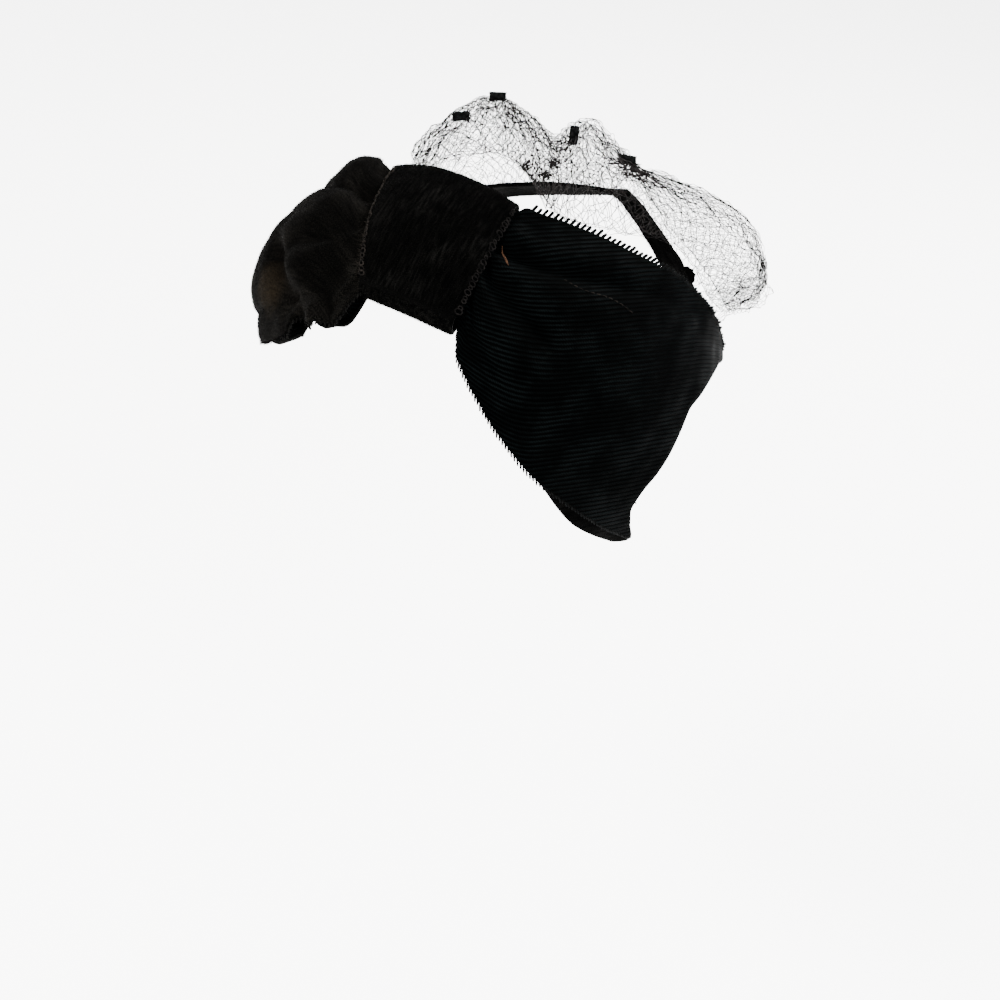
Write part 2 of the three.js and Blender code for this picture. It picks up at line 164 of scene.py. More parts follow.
LEFT_EDGES = (
    EdgeRow(0.0, (4, -42, 0), (5, -66, -18), 6.7),
    EdgeRow(0.12, (17.8, -33, 0.8), (18.5, -73, -24), 7.2),
    EdgeRow(0.15, (19.8, -30, 1.2), (20.5, -75, -28.5), 7.8),
    EdgeRow(0.2, (24, -29, 1), (23, -78, -34), 7.6),
    EdgeRow(0.36, (38, -23, -4), (35, -80, -48), 8.8),
    EdgeRow(0.52, (50, -15, -10), (46, -78, -61), 9.0),
    EdgeRow(0.68, (61, -2, -19), (56, -71, -74), 8.8),
    EdgeRow(0.84, (70, 16, -33), (66, -58, -90), 8.6),
    EdgeRow(1.0, (76, 39, -55), (74, -39, -105), 8.4),
)
LEFT_REACH = (
    ReachRow(0.0, 1.075),
    ReachRow(0.05, 1.045),
    ReachRow(0.1, 1.0),
    ReachRow(0.15, 0.965),
    ReachRow(0.25, 0.93),
    ReachRow(0.35, 0.9),
    ReachRow(0.45, 0.872),
    ReachRow(0.6, 0.878),
    ReachRow(0.7, 0.88),
    ReachRow(0.8, 0.88),
    ReachRow(0.9, 0.915),
    ReachRow(1.0, 1.01),
)
LEFT_FOLDS = (
    Fold(0.14, 0.38, 0.8, 0.09, 3.2, -3.3),
    Fold(0.16, 0.24, 0.7, 0.03, 4.5, 1.0),
    Fold(0.16, 0.46, 0.66, 0.3, 4.5, 1.3),
    Fold(0.14, 0.55, 0.4, 0.55, 3.2, -3.2),
    Fold(0.38, 0.55, 0.42, 0.56, 3.4, -2.2),
    Fold(0.14, 0.67, 0.42, 0.7, 4.0, 1.4),
    Fold(0.13, 0.79, 0.33, 0.82, 3.0, -2.8),
)
LEFT_CREASES = (
    Fold(0.13, 0.1, 0.36, 0.07, 1.6, 0.5),
    Fold(0.13, 0.2, 0.42, 0.15, 1.3, -0.5),
    Fold(0.14, 0.31, 0.36, 0.3, 1.2, 0.45),
    Fold(0.13, 0.45, 0.3, 0.47, 1.2, 0.5),
    Fold(0.13, 0.6, 0.34, 0.62, 1.3, -0.55),
    Fold(0.13, 0.73, 0.3, 0.76, 1.2, 0.5),
    Fold(0.13, 0.87, 0.34, 0.9, 1.4, -0.5),
    Fold(0.45, 0.58, 0.62, 0.66, 3.0, -0.5),
    Fold(0.55, 0.42, 0.78, 0.36, 3.5, 0.5),
    Fold(0.6, 0.75, 0.82, 0.7, 4.0, -0.5),
)
RIGHT_EDGES = (
    EdgeRow(0.0, (-10, -40, 0), (-3, -66, -18), 6.7),
    EdgeRow(0.14, (-36.5, -21.5, -0.5), (-15, -67, -19), 6.9),
    EdgeRow(0.2, (-41, -18, -2), (-19, -77, -32), 7.6),
    EdgeRow(0.28, (-47, -10, -5), (-27, -79, -35), 8.4),
    EdgeRow(0.4, (-56, -2, -13), (-40, -77, -43), 9.0),
    EdgeRow(0.55, (-65, 6, -24), (-56, -65, -56), 9.0),
    EdgeRow(0.7, (-71, 15, -34), (-67, -52, -63), 8.6),
    EdgeRow(0.85, (-75, 25, -44), (-76, -33, -72), 8.6),
    EdgeRow(1.0, (-77, 35, -54), (-80, -12, -80), 8.4),
)
RIGHT_FOLDS = (
    Fold(0.18, 0.31, 0.52, 0.24, 3.2, -4.6),
    Fold(0.17, 0.56, 0.38, 0.63, 3.4, -5.5),
    Fold(0.2, 0.68, 0.285, 0.98, 3.0, -6.0),
    Fold(0.45, 0.62, 0.365, 0.98, 3.2, -6.5),
    Fold(0.18, 0.45, 0.5, 0.48, 6.0, 1.0),
    Fold(0.2, 0.12, 0.44, 0.12, 7.0, 1.5),
)
RIGHT_CREASES = (
    Fold(0.15, 0.1, 0.36, 0.12, 1.8, -0.7),
    Fold(0.15, 0.22, 0.33, 0.25, 1.6, 0.6),
    Fold(0.15, 0.3, 0.32, 0.3, 1.5, -0.7),
    Fold(0.16, 0.5, 0.36, 0.47, 1.7, -0.8),
    Fold(0.16, 0.56, 0.34, 0.58, 1.5, 0.6),
    Fold(0.16, 0.83, 0.26, 0.92, 1.6, 0.9),
    Fold(0.24, 0.8, 0.3, 0.97, 1.8, 1.0),
    Fold(0.5, 0.3, 0.66, 0.42, 4.0, -0.6),
    Fold(0.46, 0.82, 0.6, 0.72, 3.4, 0.7),
)
BAND_ROWS = (
    BandRow(0.0, (71, 0, -42), 5.5, (75, 12, -52), 5.5),
    BandRow(0.08, (66, 6, -34), 5.5, (73, 18, -44), 5.5),
    BandRow(0.16, (60, 12, -28), 5.0, (68, 24, -36), 5.4),
    BandRow(0.24, (53, 17, -25), 1.2, (59, 28, -28), 4.6),
    BandRow(0.33, (41, 22, -17), 1.0, (46, 31, -19), 4.0),
    BandRow(0.42, (28, 34, -12), 1.2, (30, 42, -11), 4.8),
    BandRow(0.53, (11, 54, -18), 1.4, (12, 63, -23), 4.6),
    BandRow(0.64, (-12, 60, -23), 1.4, (-12, 70, -31), 4.4),
    BandRow(0.75, (-37, 52, -27), 1.4, (-41, 61, -36), 4.4),
    BandRow(0.85, (-55, 36, -30), 2.4, (-62, 44, -38), 4.8),
    BandRow(0.93, (-64, 20, -31), 5.2, (-70, 29, -40), 5.5),
    BandRow(1.0, (-71, 4, -40), 5.6, (-75, 14, -49), 5.6),
)
VEIL_ROWS = (
    VeilRow(0.0, (76, 38, -44), 3, (79, 42, -40), (74, 33, -42)),
    VeilRow(0.1, (71, 34, -35), 7, (86, 42, -28), (70, 26, -34)),
    VeilRow(0.2, (62, 33, -25), 9, (74, 45, -10), (61, 25, -22)),
    VeilRow(0.3, (48, 35, -16), 7, (51, 45, -3), (51, 19, -14.5)),
    VeilRow(0.4, (28, 47, -5), 2, (25, 46, 0), (41, 1, -9)),
    VeilRow(0.5, (13, 66, -19), 8, (4, 58, 8), (28, -16, -3.5)),
    VeilRow(0.6, (-4, 72, -23), 3, (-9, 60, -3), (15, -8, -0.5)),
    VeilRow(0.7, (-20, 70, -27), 8, (-26, 58, 6), (-4, 14, 0)),
    VeilRow(0.8, (-36, 65, -31), 9, (-38, 56, 9), (-22, 26, -2)),
    VeilRow(0.9, (-52, 56, -34), 8, (-54, 52, -1), (-42, 26, -9)),
    VeilRow(1.0, (-63, 46, -38), 4, (-65, 44, -16), (-56, 28, -24)),
)
BAR_ROWS = (
    BarRow("chenille_bar_1", 0.865, 0.73, (0.88, 0.44, 0.16)),
    BarRow("chenille_bar_2", 0.78, 0.6, (0.89, 0.45, 0.06)),
    BarRow("chenille_bar_3", 0.525, 0.74, (-0.16, 0.36, 0.92)),
    BarRow("chenille_bar_4", 0.4, 0.54, (0.91, 0.4, -0.06)),
)
TACK_ROWS = (TackRow(0.675, 0.98), TackRow(0.6, 0.92), TackRow(0.58, 0.86), TackRow(0.4, 0.3))
PLEAT_ROWS = (
    PleatRow(0.4, 0.45, 0.17, 0.5),
    PleatRow(0.59, 0.05, 0.565, 0.8),
    PleatRow(0.69, 0.1, 0.72, 0.75),
    PleatRow(0.88, 0.15, 0.84, 0.8),
    PleatRow(0.12, 0.1, 0.13, 0.55),
    PleatRow(0.65, 1.0, 0.55, 0.75),
    PleatRow(0.64, 0.97, 0.56, 0.8),
    PleatRow(0.82, 0.8, 0.79, 0.2),
    PleatRow(0.76, 0.85, 0.73, 0.25),
    PleatRow(0.72, 1.0, 0.52, 1.0),
)


# Geometry shared by the pieces.


def unit(vectors: np.ndarray) -> np.ndarray:
    """The vectors at length one."""
    return vectors / np.maximum(np.linalg.norm(vectors, axis=-1, keepdims=True), 1e-9)


def ease(low: float, high: float, value: np.ndarray) -> np.ndarray:
    """A smooth step from 0 to 1 between two values."""
    t = np.clip((value - low) / (high - low), 0, 1)
    return t * t * (3 - 2 * t)


def blend(start: np.ndarray, end: np.ndarray, share: np.ndarray) -> np.ndarray:
    """The points part of the way from some points to others."""
    return start + (end - start) * np.asarray(share)[..., None]


@dataclass(frozen=True)
class CrownForm:
    """The rounded form that the hat is shaped to."""

    width: float = 76.0
    length: float = 90.0
    height: float = 80.0

    @property
    def centre(self) -> np.ndarray:
        """The middle of the form."""
        return np.array((0.0, 0.0, -self.height))

    def outward(self, points: np.ndarray) -> np.ndarray:
        """Directions from the form's centre towards points."""
        return unit(points - self.centre)

    def lifted(self, towards: np.ndarray, lift: np.ndarray) -> np.ndarray:
        """Points above the form, in the directions of other points.

        Args:
            towards: Points that give the directions, seen from the form's centre.
            lift: Height of each point above the form.

        Returns:
            The lifted points.
        """
        ray = towards - self.centre
        lift = np.broadcast_to(lift, ray.shape[:-1])
        semi = np.stack([self.width + lift, self.length + lift, self.height + lift], -1)
        return self.centre + ray / np.linalg.norm(ray / semi, axis=-1, keepdims=True)


CROWN = CrownForm()


class Track:
    """Smooth curves through the rows of a table, whose first column is the place along it."""

    def __init__(self, rows: Sequence[Any]) -> None:
        """Keeps the places and the other columns of the rows."""
        table = np.array([np.hstack(list(vars(row).values())) for row in rows], float)
        self.at, self.values = table[:, 0], table[:, 1:]

    def sample(self, at: np.ndarray) -> np.ndarray:
        """The values at places along the rows.

        Args:
            at: Places, in any shape.

        Returns:
            The values, with one more axis for the table's columns.
        """
        at = np.asarray(at, float)
        k = np.searchsorted(self.at[1:-1], at, side="left")
        before = np.maximum(k - 1, 0)
        after = np.minimum(k + 2, len(self.at) - 1)
        start = self.values[k]
        end = self.values[k + 1]
        span = (self.at[k + 1] - self.at[k])[..., None]
        t = (at - self.at[k])[..., None] / span
        rise_in = (end - self.values[before]) / (self.at[k + 1] - self.at[before])[..., None]
        rise_out = (self.values[after] - start) / (self.at[after] - self.at[k])[..., None]
        t2 = t * t
        t3 = t2 * t
        return (
            (2 * t3 - 3 * t2 + 1) * start
            + (t3 - 2 * t2 + t) * rise_in * span
            + (3 * t2 - 2 * t3) * end
            + (t3 - t2) * rise_out * span
        )


@dataclass(frozen=True)
class Ripples:
    """Small irregular waves in a cloth, as plane waves in seeded directions."""

    seed: int
    wavelength: float
    height: float
    waves: int = 9

    def over(self, points: np.ndarray) -> np.ndarray:
        """The height of the waves at the points.

        Args:
            points: Places where the waves are read.

        Returns:
            The height of the waves at each point.
        """
        chance = np.random.default_rng(self.seed)
        total = np.zeros(points.shape[:-1])
        for _ in range(self.waves):
            direction = unit(chance.normal(size=3))
            length = self.wavelength * chance.uniform(0.7, 1.6)
            phase = chance.uniform(0, math.tau)
            total += np.sin(points @ direction * math.tau / length + phase)
        return self.height * total / math.sqrt(self.waves)


def fold_height(folds: Sequence[Fold], at: np.ndarray, down: np.ndarray) -> np.ndarray:
    """The height that folds add to a loop.

    Args:
        folds: The folds of the loop.
        at: Places along the loop, from 0 to 1.
        down: Places across it, from its upper edge to its lower edge.

    Returns:
        The added height at each place.
    """
    length_scale = 105.0
    width_scale = 66.0
    easing = 0.55
    height = np.zeros_like(at)
    for fold in folds:
        run = (fold.to_at - fold.from_at) * length_scale
        drop = (fold.to_down - fold.from_down) * width_scale
        x = (at - fold.from_at) * length_scale
        y = (down - fold.from_down) * width_scale
        t = np.clip((x * run + y * drop) / (run * run + drop * drop), 0, 1)
        away = np.hypot(x - t * run, y - t * drop) / fold.width
        height += fold.depth * (1 - easing * t) * np.exp(-away * away)
    return height


def half_turn(start: np.ndarray, end: np.ndarray, outward: np.ndarray, steps: int) -> np.ndarray:
    """Rows of a half-turn of cloth that joins two layers.

    Args:
        start: Last row of the first layer.
        end: First row of the second layer.
        outward: Direction in which the fold stands out, for each point.
        steps: Number of steps round the fold.

    Returns:
        The rows between start and end.
    """
    centre = (start + end) / 2
    arm = start - centre
    radius = np.linalg.norm(arm, axis=-1, keepdims=True)
    angles = [math.pi * k / steps for k in range(1, steps)]
    return np.array(
        [centre + arm * math.cos(a) + outward * radius * math.sin(a) for a in angles]
    )


def surface_normals(grid: np.ndarray, closed: bool = False) -> np.ndarray:
    """The normals of a grid of points, from its rows crossed with its columns.

    Args:
        grid: Grid of points.
        closed: Whether the last row joins the first one.

    Returns:
        A unit vector at each point.
    """
    if closed:
        along = np.roll(grid, -1, axis=0) - np.roll(grid, 1, axis=0)
    else:
        along = np.gradient(grid, axis=0)
    return unit(np.cross(along, np.gradient(grid, axis=1)))


def lengths_over(grid: np.ndarray) -> np.ndarray:
    """Coordinates over a cloth in millimetres: along its rows and across its columns.

    Args:
        grid: Grid of points.

    Returns:
        The coordinates at each point, in millimetres.
    """
    along = np.linalg.norm(np.diff(grid, axis=0), axis=-1).mean(axis=1)
    across = np.linalg.norm(np.diff(grid, axis=1), axis=-1)
    u = np.concatenate([[0.0], np.cumsum(along)])[:, None]
    v = np.concatenate([np.zeros((len(grid), 1)), np.cumsum(across, axis=1)], axis=1)
    return np.stack([np.broadcast_to(u, v.shape), v, np.zeros_like(v)], axis=-1)


@dataclass
class Patch:
    """Points, faces and what the finishes read from them, before they become a mesh."""

    points: np.ndarray
    faces: np.ndarray
    cloth: np.ndarray | None = None
    slots: np.ndarray | None = None

    @staticmethod
    def joined(patches: Sequence["Patch"]) -> "Patch":
        """One patch that holds several patches of the same kind of face.

        Args:
            patches: Patches to join.

        Returns:
            The joined patch.
        """
        starts = np.cumsum([0] + [len(p.points) for p in patches[:-1]])
        faces = [p.faces + start for p, start in zip(patches, starts)]
        return Patch(np.concatenate([p.points for p in patches]), np.concatenate(faces))

    def build(self, name: str, materials: Sequence[bpy.types.Material]) -> bpy.types.Object:
        """Makes the mesh object.

        Args:
            name: Name of the piece.
            materials: Materials in the order of the patch's slots.

        Returns:
            The new object, linked to the scene.
        """
        mesh = bpy.data.meshes.new(name)
        mesh.from_pydata((self.points * MM).tolist(), [], self.faces.tolist())
        for material in materials:
            mesh.materials.append(material)
        if self.slots is not None:
            mesh.polygons.foreach_set("material_index", self.slots.astype(np.int32))
        if self.cloth is not None:
            layer = mesh.attributes.new(CLOTH_ATTRIBUTE, "FLOAT_VECTOR", "POINT")
            layer.data.foreach_set("vector", self.cloth.astype(np.float32).ravel())
        mesh.polygons.foreach_set("use_smooth", np.ones(len(self.faces), bool))
        mesh.update()
        made = bpy.data.objects.new(name, mesh)
        bpy.context.scene.collection.objects.link(made)
        return made


class Facing(Enum):
    """Which side of a sheet's rows crossed with its columns is turned out."""

    NORMAL = 0
    REVERSE = 1


class Rim(Enum):
    """The upper or lower edge of a loop, as a place across it."""

    UPPER = 0.0
    LOWER = 1.0


class Seam(Enum):
    """The left or right seam of the knot, as a place across it."""

    LEFT = 0.0
    RIGHT = 1.0


def sheet_patch(
    middle: np.ndarray,
    thickness: float,
    cloth: np.ndarray,
    facing: Facing,
    closed: bool = False,
) -> Patch:
    """A sheet of cloth as a closed body round a grid of points.

    Args:
        middle: Grid of points half-way through the cloth.
        thickness: Thickness of the cloth.
        cloth: Coordinates over the cloth, for the finishes.
        facing: Side that takes the first material; the other side takes the second.
        closed: Whether the last row joins the first one.

    Returns:
        The patch of the sheet.
    """
    rows, columns = middle.shape[:2]
    offset = surface_normals(middle, closed) * thickness / 2
    points = np.concatenate([(middle + offset).reshape(-1, 3), (middle - offset).reshape(-1, 3)])
    i, j = np.meshgrid(np.arange(rows if closed else rows - 1), np.arange(columns - 1), indexing="ij")
    below = (i + 1) % rows
    here, right = i * columns + j, i * columns + j + 1
    under, corner = below * columns + j, below * columns + j + 1
    front = np.stack([here, under, corner, right], -1).reshape(-1, 4)
    rear = front[:, ::-1] + rows * columns
    first, last = i[:, 0] * columns, i[:, 0] * columns + columns - 1
    first_below, last_below = below[:, 0] * columns, below[:, 0] * columns + columns - 1
    shift = rows * columns
    rims = [
        np.stack([first, first + shift, first_below + shift, first_below], -1),
        np.stack([last, last_below, last_below + shift, last + shift], -1),
    ]
    if not closed:
        top = np.arange(columns - 1)
        end = (rows - 1) * columns + top
        rims.append(np.stack([top, top + 1, top + 1 + shift, top + shift], -1))
        rims.append(np.stack([end, end + shift, end + 1 + shift, end + 1], -1))
    rim = np.concatenate(rims)
    outside = 0 if facing is Facing.NORMAL else 1
    slots = np.concatenate(
        [np.full(len(front), outside), np.full(len(rear), 1 - outside), np.zeros(len(rim))]
    )
    flat = cloth.reshape(-1, 3)
    return Patch(points, np.concatenate([front, rear, rim]), np.concatenate([flat, flat]), slots)


def tube_patch(
    paths: np.ndarray, radii: np.ndarray, sides: int, towards: np.ndarray
) -> Patch:
    """Many thin tubes along paths of the same number of points.

    Args:
        paths: Paths, as an array of paths by points by coordinates.
        radii: Radius at each point of a path, for all paths or for each one.
        sides: Number of sides of a tube.
        towards: A direction that is not along the path, for each path.

    Returns:
        The patch of all the tubes.
    """
    count, steps = paths.shape[:2]
    run = unit(np.gradient(paths, axis=1))
    first = unit(np.cross(run, np.broadcast_to(towards[:, None], run.shape)))
    second = np.cross(run, first)
    turn = np.arange(sides) * math.tau / sides
    ring = (
        first[:, :, None] * np.cos(turn)[:, None] + second[:, :, None] * np.sin(turn)[:, None]
    )
    reach = np.broadcast_to(radii, (count, steps))[:, :, None, None]
    points = (paths[:, :, None] + ring * reach).reshape(-1, 3)
    path, step, side = np.meshgrid(
        np.arange(count), np.arange(steps - 1), np.arange(sides), indexing="ij"
    )
    start = (path * steps + step) * sides
    beside = (side + 1) % sides
    faces = np.stack(
        [start + side, start + sides + side, start + sides + beside, start + beside], -1
    )
    return Patch(points, faces.reshape(-1, 4))


def blade_patch(
    roots: np.ndarray, ways: np.ndarray, lengths: np.ndarray, width: float, seed: int
) -> Patch:
    """Many single fibres, each one a narrow triangle.

    Args:
        roots: Where the fibres grow.
        ways: Directions in which they stand.
        lengths: Length of each fibre.
        width: Width at the root.
        seed: Seed of the turn of each fibre about itself.

    Returns:
        The patch of all the fibres.
    """
    chance = np.random.default_rng(seed)
    beside = unit(np.cross(ways, chance.normal(size=ways.shape))) * width / 2
    tips = roots + ways * lengths[:, None]
    points = np.stack([roots - beside, roots + beside, tips], axis=1).reshape(-1, 3)
    return Patch(points, np.arange(len(points)).reshape(-1, 3))


@dataclass(frozen=True)
class Edge:
    """The edge of a cloth as points, with its outward direction and the cloth's normal."""

    points: np.ndarray
    outward: np.ndarray
    normal: np.ndarray

    @staticmethod
    def of(grid: np.ndarray, column: int, normal: np.ndarray) -> "Edge":
        """The edge at the first (0) or last (-1) column of a grid."""
        inner = 1 if column == 0 else -2
        return Edge(grid[:, column], unit(grid[:, column] - grid[:, inner]), normal[:, column])

    @property
    def run(self) -> np.ndarray:
        """Lengths along the edge up to each of its points."""
        steps = np.linalg.norm(np.diff(self.points, axis=0), axis=-1)
        return np.concatenate([[0.0], np.cumsum(steps)])

    def spaced(self, pitch: float) -> "Edge":
        """The same edge with its points a pitch apart."""
        return self.at_lengths(np.arange(pitch / 2, self.run[-1], pitch))

    def scattered(self, per_mm: float, seed: int) -> "Edge":
        """The same edge with its points strewn at random.

        Args:
            per_mm: Number of points in a millimetre.
            seed: Seed of their places.

        Returns:
            The edge at those points.
        """
        chance = np.random.default_rng(seed)
        length = self.run[-1]
        return self.at_lengths(np.sort(chance.uniform(0, length, int(per_mm * length))))

    def at_lengths(self, places: np.ndarray) -> "Edge":
        """The edge at lengths along it.

        Args:
            places: Lengths along the edge.

        Returns:
            The edge at those lengths.
        """
        run = self.run

        def read(values: np.ndarray) -> np.ndarray:
            """The values at those lengths."""
            return np.stack([np.interp(places, run, column) for column in values.T], axis=-1)

        return Edge(read(self.points), unit(read(self.outward)), unit(read(self.normal)))

    @property
    def tangent(self) -> np.ndarray:
        """Directions along the edge."""
        return unit(np.gradient(self.points, axis=0))


# Finishes.


class Signal:
    """An output of a node, with operators that add Math nodes."""

    def __init__(self, shader: "Shader", made: bpy.types.Node, output: int | str) -> None:
        """Keeps the shader, the node and which of its outputs is meant."""
        self.shader, self.made, self.output = shader, made, output

    @property
    def socket(self) -> bpy.types.NodeSocket:
        """The output socket."""
        return self.made.outputs[self.output]

    def math(self, operation: str, *others: Any) -> "Signal":
        """The result of a Math node on this signal and others."""
        sockets = dict(enumerate((self, *others)))
        return self.shader.node("ShaderNodeMath", {"operation": operation}, sockets)

    def __add__(self, other: Any) -> "Signal":
        """This signal plus another or a number."""
        return self.math("ADD", other)

    __radd__ = __add__

    def __mul__(self, other: Any) -> "Signal":
        """This signal times another or a number."""
        return self.math("MULTIPLY", other)

    __rmul__ = __mul__

    def __sub__(self, other: Any) -> "Signal":
        """This signal less another or a number."""
        return self.math("SUBTRACT", other)

    def __rsub__(self, other: float) -> "Signal":
        """A number less this signal."""
        return self * -1.0 + other

    def __truediv__(self, other: Any) -> "Signal":
        """This signal divided by another or a number."""
        return self.math("DIVIDE", other)

    def __pow__(self, other: Any) -> "Signal":
        """This signal to a power."""
        return self.math("POWER", other)

    def __abs__(self) -> "Signal":
        """This signal without its sign."""
        return self.math("ABSOLUTE")

    def sine(self) -> "Signal":
        """The sine of this signal."""
        return self.math("SINE")

    def spread(self, low: float, high: float) -> "Signal":
        """This signal from low to high as 0 to 1, smoothly and held there.

        Args:
            low: Value that becomes 0.
            high: Value that becomes 1.

        Returns:
            The signal from 0 to 1.
        """
        settings = {"interpolation_type": "SMOOTHSTEP"}
        sockets = {"Value": self, "From Min": low, "From Max": high}
        return self.shader.node("ShaderNodeMapRange", settings, sockets)


class Shader:
    """The node tree of one material."""

    MIX_FACTOR = 0
    MIX_FIRST = 6
    MIX_SECOND = 7
    MIX_RESULT = 2

    def __init__(self, name: str) -> None:
        """Starts an empty material.

        Args:
            name: Name of the material.
        """
        self.material = bpy.data.materials.new(name)
        self.material.use_nodes = True
        self.material.node_tree.nodes.clear()

    def node(
        self,
        kind: str,
        settings: dict[str, Any] | None = None,
        sockets: dict[int | str, Any] | None = None,
        output: int | str = 0,
    ) -> Signal:
        """Adds a node.

        Args:
            kind: The node's type.
            settings: Its properties, which are set first.
            sockets: Values or signals of its input sockets.
            output: The output socket that is wanted.

        Returns:
            The signal of that output.
        """
        made = self.material.node_tree.nodes.new(kind)
        for key, value in (settings or {}).items():
            setattr(made, key, value)
        for key, value in (sockets or {}).items():
            if isinstance(value, Signal):
                self.material.node_tree.links.new(value.socket, made.inputs[key])
            else:
                made.inputs[key].default_value = value
        return Signal(self, made, output)

    def cloth_place(self) -> Signal:
        """Coordinates over the cloth in millimetres.

        Returns:
            The coordinates as a vector.
        """
        return self.node(
            "ShaderNodeAttribute", {"attribute_name": CLOTH_ATTRIBUTE}, output="Vector"
        )

    def object_place(self) -> Signal:
        """Coordinates in the hat's frame in millimetres."""
        place = self.node("ShaderNodeTexCoord", output="Object")
        return self.scaled(place, (1 / MM, 1 / MM, 1 / MM))

    def scaled(self, vector: Signal, by: Triple) -> Signal:
        """A vector with each coordinate multiplied."""
        return self.node("ShaderNodeVectorMath", {"operation": "MULTIPLY"}, {0: vector, 1: by})

    def parts(self, vector: Signal) -> tuple[Signal, Signal]:
        """The first two coordinates of a vector."""
        first = self.node("ShaderNodeSeparateXYZ", sockets={0: vector}, output="X")
        return first, Signal(self, first.made, "Y")

    def noise(self, vector: Signal, scale: float, detail: float = 2.0) -> Signal:
        """Cloudy noise from 0 to 1, with features of one over the scale."""
        sockets = {"Vector": vector, "Scale": scale, "Detail": detail}
        return self.node("ShaderNodeTexNoise", sockets=sockets, output="Fac")

    def mixed(self, share: Signal, first: Colour | Signal, second: Colour | Signal) -> Signal:
        """A colour between two colours.

        Args:
            share: How much of the second colour there is.
            first: Colour at a share of 0.
            second: Colour at a share of 1.

        Returns:
            The mixed colour.
        """
        def whole(colour: Any) -> Any:
            """A colour with its alpha, or the signal as it is."""
            return colour if isinstance(colour, Signal) else (*colour, 1.0)

        sockets = {
            self.MIX_FACTOR: share,
            self.MIX_FIRST: whole(first),
            self.MIX_SECOND: whole(second),
        }
        return self.node("ShaderNodeMix", {"data_type": "RGBA"}, sockets, self.MIX_RESULT)

    def bumped(self, height: Signal, distance: float, strength: float) -> Signal:
        """The normal of a surface with a relief that is a number of millimetres high."""
        sockets = {"Height": height, "Distance": distance * MM, "Strength": strength}
        return self.node("ShaderNodeBump", sockets=sockets, output="Normal")

    def finished(self, sockets: dict[str, Any]) -> bpy.types.Material:
        """Closes the material with a Principled shader.

        Args:
            sockets: Values or signals of the shader's sockets.

        Returns:
            The material.
        """
        surface = self.node("ShaderNodeBsdfPrincipled", sockets=sockets, output="BSDF")
        self.node("ShaderNodeOutputMaterial", sockets={"Surface": surface})
        return self.material


@dataclass(frozen=True)
class VelvetFinish:
    """Rayon velvet: a short upright pile that darkens face on and glows at a slant."""

    name: str
    ground: Colour
    nap: Colour
    sheen: float
    sheen_tint: Colour
    streak_pitch: float = 1.05
    streak_stretch: float = 0.16
    streak_share: float = 0.6
    grain_scale: float = 3.2
    crush_scale: float = 0.055
    relief: float = 0.55
    relief_strength: float = 0.75
    specular: float = 0.004
    sheen_roughness: float = 0.32
    # Centre, radius and brown colour of a patch of painted sheen; the default centre lies far off the
    # hat.
    sheen_patch_at: Triple = (0.0, 0.0, 400.0)
    sheen_patch_radius: float = 11.0
    sheen_patch_colour: Colour = (0.0064, 0.0047, 0.0029)

    def build(self) -> bpy.types.Material:
        """The velvet material.

        Returns:
            The material.
        """
        shader = Shader(self.name)
        cloth = shader.cloth_place()
        pitch = self.streak_pitch
        drawn_out = shader.scaled(cloth, (self.streak_stretch / pitch, 1 / pitch, 1.0))
        streaks = shader.noise(drawn_out, 1.0, 3.0)
        grain = shader.noise(cloth, self.grain_scale)
        crush = shader.noise(cloth, self.crush_scale).spread(0.42, 0.7)
        height = streaks * self.streak_share + grain * (1 - self.streak_share)
        lay = height.spread(0.42, 0.68)
        # A round patch of painted brown sheen about a fixed point, stronger along the pile streaks.
        ends = {0: shader.object_place(), 1: self.sheen_patch_at}
        away = shader.node("ShaderNodeVectorMath", {"operation": "DISTANCE"}, ends, "Value")
        sheen_patch_mask = 1 - (away / self.sheen_patch_radius + crush * 0.5 - 0.25).spread(0.2, 1.0)
        napped = shader.mixed(lay * (crush * 0.75 + 0.25), self.ground, self.nap)
        colour = shader.mixed(sheen_patch_mask * (lay * 0.7 + 0.3), napped, self.sheen_patch_colour)
        return shader.finished(
            {
                "Base Color": colour,
                "Roughness": 0.95 - 0.2 * crush,
                "Specular IOR Level": self.specular,
                "Sheen Weight": self.sheen,
                "Sheen Roughness": self.sheen_roughness,
                "Sheen Tint": (*self.sheen_tint, 1.0),
                "Normal": shader.bumped(height, self.relief, self.relief_strength),
            }
        )


